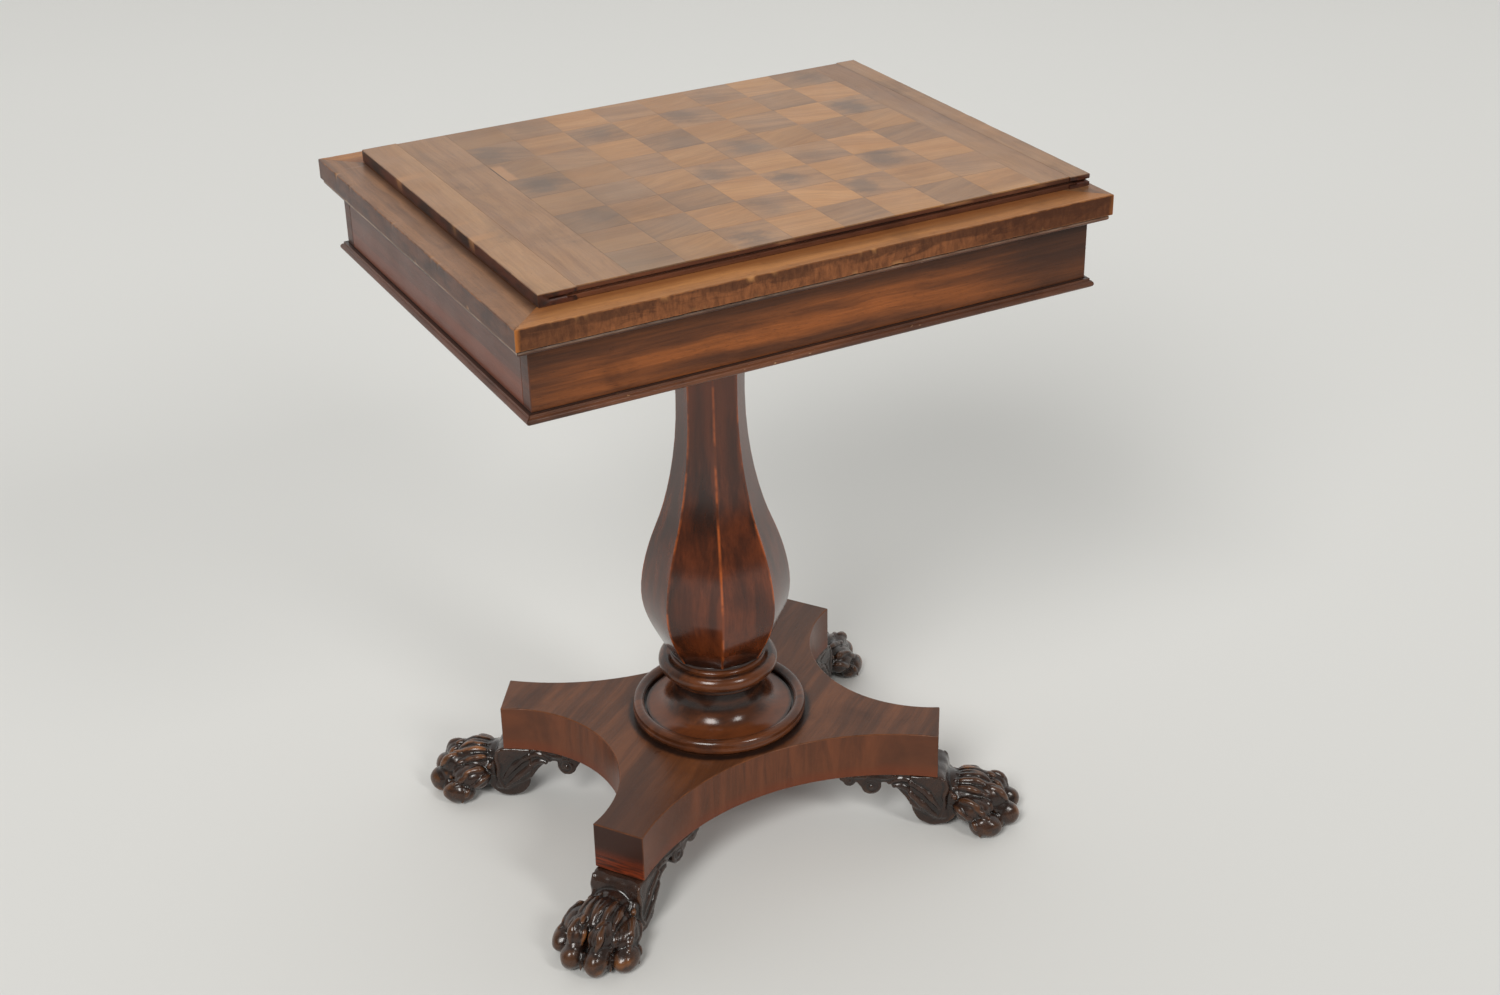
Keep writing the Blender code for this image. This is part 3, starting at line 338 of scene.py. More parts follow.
def bump(w, shader, height, strength, distance):
    made = w.node("ShaderNodeBump", {"Height": height, "Strength": strength, "Distance": distance})
    w.feed(shader.inputs["Normal"], made.outputs[0])


def rubbed(w, coords, tone, distance, width, ragged, bare):
    """Ragged wear that starts at an edge, dies out over the width and bares another tone."""
    coarse = w.noise(coords, 38.0, 3.0, 0.6)
    fine = w.noise(coords, 260.0, 2.0, 0.6)
    uneven = w.plus(w.times(coarse, 0.75), w.times(fine, 0.25))
    reach = w.plus(distance, w.swing(uneven, ragged))
    mask = w.smooth(w.math("DIVIDE", reach, width), 1.0, 0.0)
    patches = w.smooth(coarse, 0.42, 0.60)
    return w.over(tone, mask, w.span(patches, 0.15, 1.0), bare)


def wood(name, light, middle, dark, streak=0.6, pores=0.5, turn=(0, 0, 0), shift=(0, 0, 0),
         gloss=0.3, dull=0.5, coat=0.08, coat_rough=0.2, specular=0.28,
         edge=None, rub=None, rub_width=0.0012, ragged=0.003,
         stain=0.5, stain_scale=9.0, grain_depth=0.25, overlay=None):
    """Old polished wood. edge gives the distance to the nearest arris, and rub the tone where it's worn.

    overlay takes the wires, the coordinates and the tone so far, and returns the tone with more laid on.
    """
    material, w, shader, coords = new_finish(name)
    along = w.mapped(coords, turn=turn, shift=shift)
    grain = timber(w, along, light, middle, dark, streak, pores)
    grime = grime_of(w, along, stain_scale)
    tone = w.mix(w.times(grime["Stain"], stain), grain["Color"], STAIN_TINT, "MULTIPLY")
    if overlay is not None:
        tone = overlay(w, coords, tone)
    if edge is not None:
        tone = rubbed(w, coords, tone, edge(w, coords), rub_width, ragged, rub)
    tone = w.over(tone, w.attribute("chip"), 0.7, BARE_CHIP)
    w.feed(shader.inputs["Base Color"], tone)
    polish(w, shader, grime["Gloss"], gloss, dull, coat, coat_rough, specular)
    bump(w, shader, grain["Height"], grain_depth, GRAIN_RELIEF)
    return material


def groove_shade_and_wax(w, coords, tone, grooves):
    """Painted shade with black wax and dust round the axis, at each (radius, height, width)."""
    x, y, z = w.parts(coords)
    radius = flat_length(w, x, y)
    ragged = w.swing(w.noise(coords, 120.0, 2.0), 0.003)
    for reach, height, width in grooves:
        away = flat_length(w, w.less(radius, reach), w.less(z, height))
        near = w.smooth(w.plus(away, ragged), width, width * 0.25)
        # Painted shade in each groove, with old black wax
        tone = w.over(tone, near, 0.9, SHADE_AND_WAX_BLACK)
    return tone


def turned_tones(w, coords, tone):
    """Redder wood on the neck's plate and the ring's crest, painted shade in the neck's hollow below the
    collar, and painted shade with black wax in the grooves.
    """
    x, y, z = w.parts(coords)
    radius = flat_length(w, x, y)
    low = w.smooth(z, 0.146, 0.140)
    plate = w.times(w.smooth(radius, 0.055, 0.062), w.smooth(radius, 0.0770, 0.0735))
    crest = w.smooth(radius, 0.0815, 0.0845)
    patchy = w.span(w.figure(coords, (60.0, 60.0, 160.0), 3.0, 0.6), 0.1, 0.9)
    share = w.times(w.times(w.plus(plate, w.times(crest, 0.2)), low), patchy)
    tone = w.mix(share, tone, (0.160, 0.044, 0.014))
    # Painted shade in the neck's hollow below the collar
    hollow = w.times(w.smooth(radius, 0.058, 0.049), w.smooth(z, 0.178, 0.172))
    tone = w.over(tone, hollow, 0.35, (0.024, 0.010, 0.007))
    return groove_shade_and_wax(w, coords, tone, TURNED_GROOVES)


def crossbanded_edge(w, coords, tone):
    """The long rails' outer edge: finely mottled short grain, dark in patches, bright at the corners."""
    x, y, z = w.parts(w.from_point(w.folded(coords), (*FRAME_BOX[1][:2], 0.0)))
    along = w.parts(coords)[0]
    face = w.smooth(w.most(x, y), -0.0016, -0.0003)
    mottle = w.figure(coords, (210.0, 210.0, 80.0), 5.0, 0.70, 0.4)
    broad = w.figure(coords, (19.0, 19.0, 75.0), 4.0, 0.66, 0.7)
    band = w.mix(w.smooth(mottle, 0.20, 0.80), (0.095, 0.034, 0.015), (0.275, 0.099, 0.037))
    upper = w.smooth(w.plus(z, w.swing(broad, 0.05)), 0.7105, 0.7185)
    band = w.over(band, upper, 0.58, (0.036, 0.015, 0.009))
    right = w.ragged(along, broad, 0.10, 0.12, 0.27)
    band = w.over(band, right, 0.68, (0.050, 0.015, 0.006))
    corner = w.ragged(w.least(x, y), mottle, 0.004, -0.004, 0.001)
    left = w.ragged(along, broad, 0.12, -0.13, -0.22)
    band = w.over(band, left, 0.50, (0.034, 0.014, 0.008))
    bright = w.times(corner, w.span(w.smooth(along, 0.10, -0.10), 0.25, 0.85))
    band = w.mix(bright, band, (0.400, 0.135, 0.030))
    return w.mix(face, tone, band)


def plain_edge(w, coords, tone):
    """The end rails: painted shade in a strip beside the board, and a smooth purple-brown outer edge."""
    board_side = BOARD_BOX[0][0] - BOARD_BOX[1][0]
    from_board = w.size(w.less(board_side, w.parts(coords)[0]))
    # Painted shade along the foot of the board, on the left rail
    beside = w.ragged(from_board, w.noise(coords, 34.0, 3.0), 0.008, 0.015, 0.004)
    tone = w.over(tone, beside, 0.75, (0.048, 0.018, 0.010))
    x = w.parts(w.folded(coords))[0]
    face = w.smooth(x, FRAME_BOX[1][0] - 0.0016, FRAME_BOX[1][0] - 0.0003)
    mottle = w.smooth(w.figure(coords, (60.0, 30.0, 90.0), 4.0, 0.65), 0.34, 0.66)
    return w.mix(face, tone, w.mix(mottle, (0.052, 0.024, 0.018), (0.110, 0.044, 0.026)))


def frieze_streaks(w, coords, tone):
    """Long dark streaks above, warmer wood below, dark towards both ends and over the end faces."""
    x, _, z = w.parts(coords)
    streak = w.figure(coords, (3.0, 3.0, 110.0), 4.0, 0.64, 0.3)
    sway = w.less(streak, 0.5)
    upper = w.ragged(z, sway, 0.07, 0.660, 0.692)
    tone = w.over(tone, upper, 0.62, (0.046, 0.020, 0.012))
    ends = w.ragged(w.size(w.plus(x, 0.040)), sway, 0.12, 0.185, 0.285)
    tone = w.over(tone, ends, 0.70, (0.034, 0.016, 0.011))
    shown = w.smooth(w.size(x), FRIEZE_BOX[1][0] - 0.0012, FRIEZE_BOX[1][0] - 0.0004)
    end_grain = w.mix(w.smooth(streak, 0.36, 0.66), (0.055, 0.023, 0.017), (0.105, 0.040, 0.026))
    tone = w.mix(shown, tone, end_grain)
    return w.shaded(tone, w.span(w.figure(coords, (16.0, 16.0, 900.0), 2.0, 0.6), 0.74, 1.26))


def frieze_glow(w, coords, tone):
    """Redder wood along the foot of the end boards."""
    streak = w.figure(coords, (4.0, 4.0, 120.0), 4.0, 0.64, 0.3)
    low = w.smooth(w.plus(w.parts(coords)[2], w.swing(streak, 0.05)), 0.672, 0.646)
    return w.over(tone, low, 0.6, (0.200, 0.050, 0.022))


def moulding_wear_and_painted_light(w, coords, tone, line, specks):
    """A pale line along the bead, painted highlight and rubbed wear together, pale specks on the noses, and
    painted shade with dark wax in the hollows.
    """
    x, y, z = w.parts(w.from_point(w.folded(coords), (*FRIEZE_BOX[1][:2], 0.0)))
    out = w.most(x, y)
    high = w.math("GREATER_THAN", z, BETWEEN_MOULDINGS)
    # Painted shade in the hollows, with dark wax
    deep = w.plus(w.times(high, w.smooth(out, 0.0112, 0.0085)),
                  w.times(w.less(1.0, high), w.smooth(out, 0.0040, 0.0026)))
    tone = w.over(tone, deep, 0.75, (0.018, 0.010, 0.008))
    broken = w.figure(coords, (45.0, 45.0, 260.0), 3.0, 0.66)
    # Painted highlight along the bead's crest, with rubbed wear
    crest = w.times(w.smooth(z, 0.6997, 0.7004), w.smooth(out, 0.0130, 0.0137))
    worn = w.times(w.times(crest, high), w.span(w.smooth(broken, 0.40, 0.62), 0.35, 1.0))
    tone = w.over(tone, worn, line, (0.42, 0.31, 0.23))
    nicks = w.smooth(w.figure(coords, (210.0, 210.0, 420.0), 2.0, 0.6), 0.66, 0.74)
    patch = w.smooth(w.noise(coords, 9.0, 2.0), 0.44, 0.62)
    return w.over(tone, w.times(nicks, patch), specks, (0.40, 0.24, 0.13))


def board_foot(w, coords, tone):
    """The redder, less faded strip of the rails beside the board, then the mottled outer edge."""
    y = w.parts(w.folded(coords))[1]
    inner = w.ragged(y, w.noise(coords, 30.0, 3.0), 0.012, 0.233, 0.218)
    tone = w.over(tone, inner, 0.6, (0.190, 0.060, 0.018))
    return crossbanded_edge(w, coords, tone)


def dark_sides(w, coords, tone):
    """Red-brown edges below a paler top face."""
    z = w.parts(coords)[2]
    low = w.ragged(z, w.noise(coords, 90.0, 3.0), 0.0006, BOARD_TOP - 0.0002, BOARD_TOP - 0.0008)
    mottle = w.smooth(w.figure(coords, (60.0, 20.0, 60.0), 3.0, 0.6), 0.36, 0.64)
    return w.mix(low, tone, w.mix(mottle, (0.016, 0.006, 0.004), (0.078, 0.019, 0.008)))


def stained_rim(w, coords, tone):
    """The bare board's outer edges, stained as dark as the mouldings over them."""
    x, y, _ = w.parts(w.from_point(w.folded(coords), (*BOTTOM_BOARD_HALF, 0.0)))
    return w.mix(w.smooth(w.most(x, y), -0.002, 0.0), tone, (0.030, 0.014, 0.010))


def column_tones_and_shade(w, coords, tone):
    """Redder wood up the neck and in streaks beside the arrises, and painted shade at the foot where the
    column meets the collar.
    """
    z = w.parts(coords)[2]
    near = w.smooth(column_edge(w, coords), 0.010, 0.002)
    streak = w.smooth(w.figure(coords, (70.0, 70.0, 5.0), 3.0, 0.6), 0.44, 0.66)
    neck = w.smooth(z, 0.40, 0.60)
    tone = w.over(tone, w.times(near, streak), 0.45, (0.210, 0.046, 0.013))
    tone = w.over(tone, neck, 0.45, (0.240, 0.060, 0.020))
    # Painted shade at the column's foot, where it meets the collar
    foot = w.ragged(z, w.noise(coords, 40.0, 3.0), 0.010, 0.232, 0.212)
    return w.over(tone, foot, 0.8, (0.012, 0.006, 0.005))


def platform_tones_and_shade(w, coords, tone):
    """Cross-grained sides, a reddish low band on the canted corners, painted shadow on the front arm, and
    painted shade with old wax round the base ring.
    """
    x, y, z = w.parts(coords)
    side = w.smooth(z, PLATFORM_HIGH - 0.0004, PLATFORM_HIGH - 0.0016)
    turn = w.math("ARCTAN2", y, x)
    figure = w.noise(w.join(w.times(turn, 15.0), w.times(z, 11.0), 0.0), 1.0, 4.0, 0.6, 0.5)
    upright = w.mix(w.smooth(figure, 0.24, 0.76), (0.082, 0.031, 0.017), (0.172, 0.055, 0.024))
    low = w.ragged(z, figure, 0.020, 0.094, 0.080)
    upright = w.over(upright, low, 0.5, (0.170, 0.036, 0.012))
    cant = w.smooth(past_cant(w, coords), -0.0012, -0.0004)
    streak = w.figure(coords, (26.0, 26.0, 330.0), 4.0, 0.66, 0.6)
    red = w.mix(w.smooth(streak, 0.36, 0.62), (0.042, 0.011, 0.006), (0.260, 0.040, 0.010))
    band = w.ragged(z, streak, 0.030, 0.112, 0.091)
    end = w.over((0.032, 0.011, 0.007), band, 0.85, red)
    upright = w.mix(cant, upright, end)
    # Painted shadow on the platform's front arm
    front_arm_shadow = w.ragged(w.plus(x, y), figure, 0.10, -0.10, -0.24)
    tone = w.over(tone, front_arm_shadow, 0.62, (0.046, 0.018, 0.011))
    tone = w.over(tone, side, 0.9, upright)
    # Painted shade with old wax where the base ring meets the platform
    return groove_shade_and_wax(w, coords, tone, RING_GROOVES)


def chequer_finish():
    """Light and dark squares, each with its own grain and tone, the dark ones stained in the middle."""
    material, w, shader, coords = new_finish("chequer_veneer")
    x, y, _ = w.parts(coords)
    across = w.math("DIVIDE", w.less(x, SQUARES_LEFT), SQUARE)
    back = w.math("DIVIDE", w.less(y, SQUARES_FRONT), SQUARE)
    column = w.math("FLOOR", across)
    row = w.math("FLOOR", back)
    odd = w.math("MODULO", w.plus(column, row), 2.0)
    light = w.math("GREATER_THAN", odd, 0.5)
    own = w.node("ShaderNodeTexWhiteNoise", {"Vector": w.join(column, row, 3.0)}).outputs
    jump = w.scaled(own["Color"], 3.0)
    swung = {"Vector": coords, "Angle": w.swing(own["Value"], 0.9)}
    turned = w.node("ShaderNodeVectorRotate", swung, rotation_type="Z_AXIS").outputs[0]
    along = w.vector("ADD", turned, jump)
    pale = timber(w, along, (0.405, 0.198, 0.072), (0.350, 0.160, 0.053), (0.23, 0.105, 0.038), 0.35, 0.35)
    deep = timber(w, along, (0.330, 0.172, 0.078), (0.275, 0.138, 0.062), (0.165, 0.088, 0.046), 0.5, 0.5)
    tone = w.shaded(w.mix(light, deep["Color"], pale["Color"]), w.span(own["Value"], 0.86, 1.13))
    middle_x = w.less(w.math("FRACT", across), 0.5)
    middle_y = w.less(w.math("FRACT", back), 0.5)
    wobble = w.figure(w.vector("ADD", coords, jump), (38.0, 62.0, 50.0), 5.0, 0.68, 0.4)
    off_x, off_y, _ = w.parts(w.from_point(own["Color"], (0.5, 0.5, 0.5)))
    from_x = w.plus(middle_x, w.times(off_x, 0.5))
    from_y = w.plus(middle_y, w.times(off_y, 0.3))
    reach = flat_length(w, from_x, w.times(from_y, 0.75))
    centre = w.plus(reach, w.swing(wobble, 0.95))
    spot = w.times(w.smooth(centre, 0.46, 0.06), w.less(1.0, light))
    luck = w.node("ShaderNodeTexWhiteNoise", {"Vector": w.join(row, column, 8.0)}).outputs["Value"]
    tone = w.over(tone, w.times(spot, w.smooth(luck, 0.3, 0.9)), 0.64, (0.095, 0.066, 0.052))
    first = w.times(w.smooth(x, -0.112, -0.134), 0.24)
    worn = w.plus(first, w.times(w.smooth(x, -0.060, -0.085), 0.16))
    tone = w.mix(worn, tone, (0.105, 0.062, 0.036))
    grime = grime_of(w, coords, 8.0)
    tone = w.over(tone, grime["Bloom"], 0.22, (0.30, 0.21, 0.13))
    tone = w.mix(w.times(grime["Stain"], 0.35), tone, (0.55, 0.50, 0.47), "MULTIPLY")
    from_edge = w.least(w.less(0.5, w.size(middle_x)), w.less(0.5, w.size(middle_y)))
    joint = w.smooth(from_edge, 0.014, 0.004)
    broken = w.smooth(w.noise(coords, 24.0, 2.0), 0.38, 0.6)
    tone = w.over(tone, joint, w.times(broken, 0.42), (0.070, 0.042, 0.028))
    by_joint = w.times(w.smooth(y, 0.051, 0.056), w.smooth(y, 0.100, 0.092))
    fresh = w.times(w.smooth(w.less(x, w.times(wobble, 0.006)), -0.167, -0.171), by_joint)
    tone = w.over(tone, fresh, 0.75, (0.400, 0.195, 0.080))
    open_joint = w.times(w.smooth(x, SQUARES_LEFT + 0.0014, SQUARES_LEFT + 0.0008), by_joint)
    tone = w.over(tone, open_joint, 0.9, (0.020, 0.012, 0.009))
    w.feed(shader.inputs["Base Color"], tone)
    polish(w, shader, grime["Gloss"], **BOARD_WAX)
    bump(w, shader, w.less(w.times(pale["Height"], 0.3), joint), strength=0.25, distance=0.0005)
    return material


def carved_finish():
    """Near-black polish that has rubbed through to brown on the high points, with painted shade in the
    crevices.
    """
    material, w, shader, coords = new_finish("carved_polish")
    along = w.mapped(coords, turn=(0, 50, 30))
    light, middle, dark = (0.034, 0.014, 0.008), (0.018, 0.008, 0.0055), (0.008, 0.0045, 0.0036)
    grain = timber(w, along, light, middle, dark, streak=0.5, pores=0.4)
    grime = grime_of(w, coords, 30.0)
    high = w.smooth(w.plus(w.attribute("crest"), w.swing(grime["Gloss"], 0.5)), 0.56, 0.82)
    on_toes = w.span(w.smooth(past_cant(w, coords), 0.008, 0.026), 0.12, 1.0)
    patchy = w.times(w.span(grime["Bloom"], 0.18, 1.0), on_toes)
    tone = w.over(grain["Color"], high, patchy, (0.290, 0.105, 0.028))
    # Painted shade in the carving's crevices
    deep = w.smooth(w.attribute("relief"), 0.48, 0.34)
    tone = w.over(tone, deep, 0.85, (0.010, 0.007, 0.006))
    w.feed(shader.inputs["Base Color"], tone)
    polish(w, shader, grime["Gloss"], **CARVING_WAX)
    bump(w, shader, grain["Height"], 0.12, GRAIN_RELIEF)
    return material


def baize_finish():
    """Green woollen cloth: a fine napped weave, faded in patches."""
    material, w, shader, coords = new_finish("baize")
    x, y, _ = w.parts(coords)
    weave = w.times(w.math("SINE", w.times(x, 5200.0)), w.math("SINE", w.times(y, 5200.0)))
    nap = w.noise(coords, 900.0, 3.0, 0.7)
    grime = grime_of(w, coords, 7.0)
    tone = w.mix(nap, (0.018, 0.060, 0.026), (0.045, 0.115, 0.052))
    tone = w.over(tone, grime["Bloom"], 0.4, (0.090, 0.110, 0.055))
    w.feed(shader.inputs["Base Color"], tone)
    w.feed(shader.inputs["Roughness"], w.span(grime["Gloss"], 0.85, 1.0))
    shader.inputs["Sheen Weight"].default_value = 0.25
    bump(w, shader, w.plus(w.times(weave, 0.4), nap), strength=0.5, distance=0.0006)
    return material


def iron_finish():
    """Dull iron with brown rust in its hollows."""
    material, w, shader, coords = new_finish("old_iron")
    grime = grime_of(w, coords, 160.0)
    rust = w.smooth(grime["Gloss"], 0.45, 0.65)
    w.feed(shader.inputs["Base Color"], w.mix(rust, (0.16, 0.15, 0.14), (0.13, 0.055, 0.025)))
    w.feed(shader.inputs["Metallic"], w.span(rust, 0.95, 0.15))
    w.feed(shader.inputs["Roughness"], w.span(rust, 0.38, 0.85))
    bump(w, shader, grime["Gloss"], strength=0.4, distance=0.0004)
    return material


def backward(w, coords):
    """How far a point lies to the back, as the camera looks."""
    x, y, _ = w.parts(coords)
    return w.plus(w.times(x, 0.47), w.times(y, 0.88))


def floor_finish():
    """Seamless pale studio paper, a little mottled, with painted shade towards the front and painted light
    towards the back.
    """
    material, w, shader, coords = new_finish("studio_paper")
    mottle = w.noise(coords, 0.7, 3.0)
    # Painted light and shade: darker near the front, paler towards the back
    tone = w.mix(w.smooth(backward(w, coords), -1.6, 3.2), (0.60, 0.60, 0.59), (0.95, 0.95, 0.935))
    w.feed(shader.inputs["Base Color"], w.over(tone, mottle, 0.08, (0.62, 0.62, 0.61)))
    w.feed(shader.inputs["Roughness"], w.span(mottle, 0.6, 0.8))
    shader.inputs["Specular IOR Level"].default_value = 0.2
    return material


ALONG_Y = (0, 0, 90)
UPRIGHT = (0, 90, 0)
FINISH = {
    "chequer": chequer_finish(),
    "carved": carved_finish(),
    "baize": baize_finish(),
    "iron": iron_finish(),
    "strip": wood(
        "field_strip", (0.300, 0.155, 0.070), (0.235, 0.115, 0.052), (0.125, 0.064, 0.034), streak=0.5,
        turn=ALONG_Y, shift=(0.3, 0.1, 0), **BOARD_WAX,
    ),
    "cleat": wood(
        "cleat", (0.345, 0.180, 0.078), (0.285, 0.138, 0.056), (0.160, 0.076, 0.034), streak=0.4,
        turn=ALONG_Y, **BOARD_WAX, edge=box_edge(BOARD_BOX), rub=(0.10, 0.038, 0.020), rub_width=0.0014,
        ragged=0.002, overlay=dark_sides,
    ),
    "core": wood(
        "board_edge", (0.150, 0.052, 0.024), (0.090, 0.030, 0.016), (0.030, 0.013, 0.009), streak=0.7,
        edge=box_edge(BOARD_BOX), rub=(0.26, 0.10, 0.035), rub_width=0.002,
    ),
    "rail_long": wood(
        "frame_rail_long", (0.400, 0.172, 0.058), (0.285, 0.120, 0.042), (0.110, 0.046, 0.022), streak=0.45,
        coat=0.03, specular=0.12, edge=box_edge(FRAME_BOX), rub=(0.36, 0.140, 0.045), rub_width=0.0016,
        ragged=0.004, overlay=board_foot,
    ),
    "rail_end": wood(
        "frame_rail_end", (0.260, 0.120, 0.050), (0.180, 0.080, 0.034), (0.070, 0.031, 0.017), streak=0.5,
        turn=ALONG_Y, shift=(0.2, 0.4, 0), edge=box_edge(FRAME_BOX), rub=(0.30, 0.120, 0.040),
        rub_width=0.0018, ragged=0.004, overlay=plain_edge,
    ),
    "frieze_long": wood(
        "frieze_long", (0.265, 0.080, 0.021), (0.130, 0.041, 0.014), (0.034, 0.014, 0.009), streak=0.65,
        pores=0.4, gloss=0.22, dull=0.42, specular=0.20, coat=0.05, edge=box_edge(FRIEZE_BOX),
        rub=(0.13, 0.045, 0.018), overlay=frieze_streaks,
    ),
    "frieze_end": wood(
        "frieze_end", (0.130, 0.048, 0.030), (0.080, 0.031, 0.022), (0.035, 0.016, 0.013), pores=0.4,
        turn=ALONG_Y, shift=(0.6, 0.2, 0), gloss=0.22, dull=0.42, edge=box_edge(FRIEZE_BOX),
        rub=(0.12, 0.045, 0.02), overlay=frieze_glow,
    ),
    "moulding_long": wood(
        "moulding_long", (0.150, 0.055, 0.025), (0.080, 0.030, 0.016), (0.028, 0.013, 0.010), streak=0.7,
        pores=0.4, shift=(0.1, 0.7, 0.3), gloss=0.24, dull=0.44,
        overlay=partial(moulding_wear_and_painted_light, line=0.35, specks=0.8),
    ),
    "moulding_end": wood(
        "moulding_end", (0.120, 0.045, 0.026), (0.068, 0.027, 0.017), (0.026, 0.013, 0.010), streak=0.7,
        pores=0.4, turn=ALONG_Y, shift=(0.5, 0.3, 0.1), gloss=0.24, dull=0.44,
        overlay=partial(moulding_wear_and_painted_light, line=0.80, specks=0.4),
    ),
    "column": wood(
        "column_veneer", (0.120, 0.027, 0.008), (0.058, 0.014, 0.005), (0.013, 0.006, 0.004), streak=0.65,
        pores=0.35, turn=UPRIGHT, gloss=0.10, dull=0.22, coat=0.15, coat_rough=0.08, specular=0.5,
        grain_depth=0.06, edge=column_edge, rub=(0.420, 0.095, 0.020), rub_width=0.0024, ragged=0.0022,
        overlay=column_tones_and_shade,
    ),
    "turned": wood(
        "turned_wood", (0.120, 0.036, 0.012), (0.058, 0.019, 0.008), (0.016, 0.007, 0.005), pores=0.35,
        shift=(0.2, 0.9, 0.4), gloss=0.13, dull=0.24, coat=0.0, specular=0.42, grain_depth=0.05,
        overlay=turned_tones,
    ),
    "platform": wood(
        "platform_veneer", (0.150, 0.052, 0.020), (0.092, 0.033, 0.014), (0.040, 0.017, 0.010), streak=0.45,
        pores=0.4, turn=(0, 0, -38), gloss=0.22, dull=0.40, coat=0.04, specular=0.22, edge=platform_edge,
        overlay=platform_tones_and_shade, rub=(0.200, 0.065, 0.022), rub_width=0.0015,
    ),
    "deal": wood(
        "bare_deal", (0.42, 0.27, 0.145), (0.34, 0.205, 0.105), (0.20, 0.115, 0.06), streak=0.5, pores=0.3,
        gloss=0.6, dull=0.8, coat=0.0, stain=0.7, stain_scale=6.0, overlay=stained_rim,
    ),
}


# Making pieces

def placed(name, data):
    """A new object in the scene."""
    made = bpy.data.objects.new(name, data)
    bpy.context.scene.collection.objects.link(made)
    return made


def mesh_of(name, bm):
    """The bmesh as a mesh; the bmesh itself is spent."""
    mesh = bpy.data.meshes.new(name)
    bm.to_mesh(mesh)
    bm.free()
    return mesh


def finished(name, bm, finish, sharp=40, recalc=False):
    """A piece at the origin, from a bmesh that lies where the piece goes."""
    bmesh.ops.remove_doubles(bm, verts=bm.verts, dist=1e-6)
    if recalc:
        bmesh.ops.recalc_face_normals(bm, faces=bm.faces)
    mesh = mesh_of(name, bm)
    mesh.shade_smooth()
    mesh.set_sharp_from_angle(angle=math.radians(sharp))
    mesh.materials.append(FINISH[finish])
    piece = placed(name, mesh)
    shading = piece.modifiers.new("even_shading", "WEIGHTED_NORMAL")
    shading.weight = 100
    shading.keep_sharp = True
    return piece


def stands_for(piece, body, node):
    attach(piece, body)
    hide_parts(node)


def node_copy(node):
    """A CAD node's mesh, its triangles merged and its flat faces made whole."""
    bm = bmesh.new()
    bm.from_mesh(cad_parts[node].data)
    bmesh.ops.remove_doubles(bm, verts=bm.verts, dist=1e-5)
    bmesh.ops.dissolve_limit(bm, angle_limit=math.radians(1.0), verts=bm.verts, edges=bm.edges)
    return bm


def cut(bm, at, normal):
    bmesh.ops.bisect_plane(bm, geom=bm.verts[:] + bm.edges[:] + bm.faces[:], plane_co=at, plane_no=normal)


def sliced(bm, axis, pitch):
    """Cut a piece across into short lengths, so that its edges can be worn unevenly."""
    ends = [v.co[axis] for v in bm.verts]
    low, high = min(ends), max(ends)
    count = int((high - low) / pitch)
    normal = Vector()
    normal[axis] = 1.0
    for step in range(1, count):
        cut(bm, normal * (low + (high - low) * step / count), normal)


def runs_along(axis):
    return lambda e: abs((e.verts[0].co - e.verts[1].co).normalized()[axis]) > 0.999


def eased(bm, width, segments=2, angle=30, which=None):
    """Round over the sharp edges, or only those that the test picks."""
    limit = math.radians(angle)
    edges = [e for e in bm.edges if len(e.link_faces) == 2 and e.calc_face_angle(0.0) > limit]
    bmesh.ops.bevel(
        bm, geom=[e for e in edges if which is None or which(e)], offset=width, offset_type="OFFSET",
        segments=segments, profile=0.5, affect="EDGES", clamp_overlap=True, material=-1,
    )


def raised(bm, face, rise):
    """Draw a flat face out into a solid."""
    made = bmesh.ops.extrude_face_region(bm, geom=[face])["geom"]
    verts = [v for v in made if isinstance(v, bmesh.types.BMVert)]
    bmesh.ops.translate(bm, verts=verts, vec=rise)
    bmesh.ops.recalc_face_normals(bm, faces=bm.faces)


def chipped(bm, arris, inward, reach, depth, pitch, seed):
    """Knock back an arris by uneven amounts, and note on each vertex how deep."""
    notes = bm.verts.layers.float.get("chip") or bm.verts.layers.float.new("chip")
    for v in bm.verts:
        away = arris(v.co)
        if away > reach:
            continue
        at = Vector((v.co.x / pitch + seed, v.co.y / pitch - seed, seed * 2.3))
        crowd = min(1.0, max(0.25, noise.noise(at * 0.16) + 0.55))
        bite = (max(0.0, noise.noise(at) - 0.10) * 1.8 + 0.12 * (noise.noise(at * 2.9) + 1.0)) * crowd
        share = 1.0 - (away / reach) ** 2
        v[notes] = max(v[notes], min(1.0, max(0.0, bite - 0.30) * 2.2 * share))
        v.co += inward(v.co) * depth * bite * share


def closed_up(bm):
    """Grow a veneer towards its neighbours, so that the joints between them nearly close."""
    for axis in (0, 1):
        ends = [v.co[axis] for v in bm.verts]
        middle = (min(ends) + max(ends)) / 2
        for v in bm.verts:
            v.co[axis] += math.copysign(JOINT_GROWTH, v.co[axis] - middle)


def eased_copy(node, body, finish, width, close=False):
    bm = node_copy(node)
    if close:
        closed_up(bm)
    eased(bm, width)
    stands_for(finished(node + "_dressed", bm, finish), body, node)


# Chessboard

def board_core():
    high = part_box("board_core")[1]
    bm = node_copy("board_core")
    sliced(bm, 0, pitch=0.008)
    eased(bm, width=0.0006, which=runs_along(0))

    def arris(co):
        return math.hypot(abs(co.y) - high[1], co.z - high[2])

    def inward(co):
        return Vector((0.0, -math.copysign(0.7, co.y), -0.3))

    chipped(bm, arris, inward, reach=0.0015, depth=0.0010, pitch=0.02, seed=3.7)
    stands_for(finished("board_core_worn", bm, "core"), BOARD, "board_core")


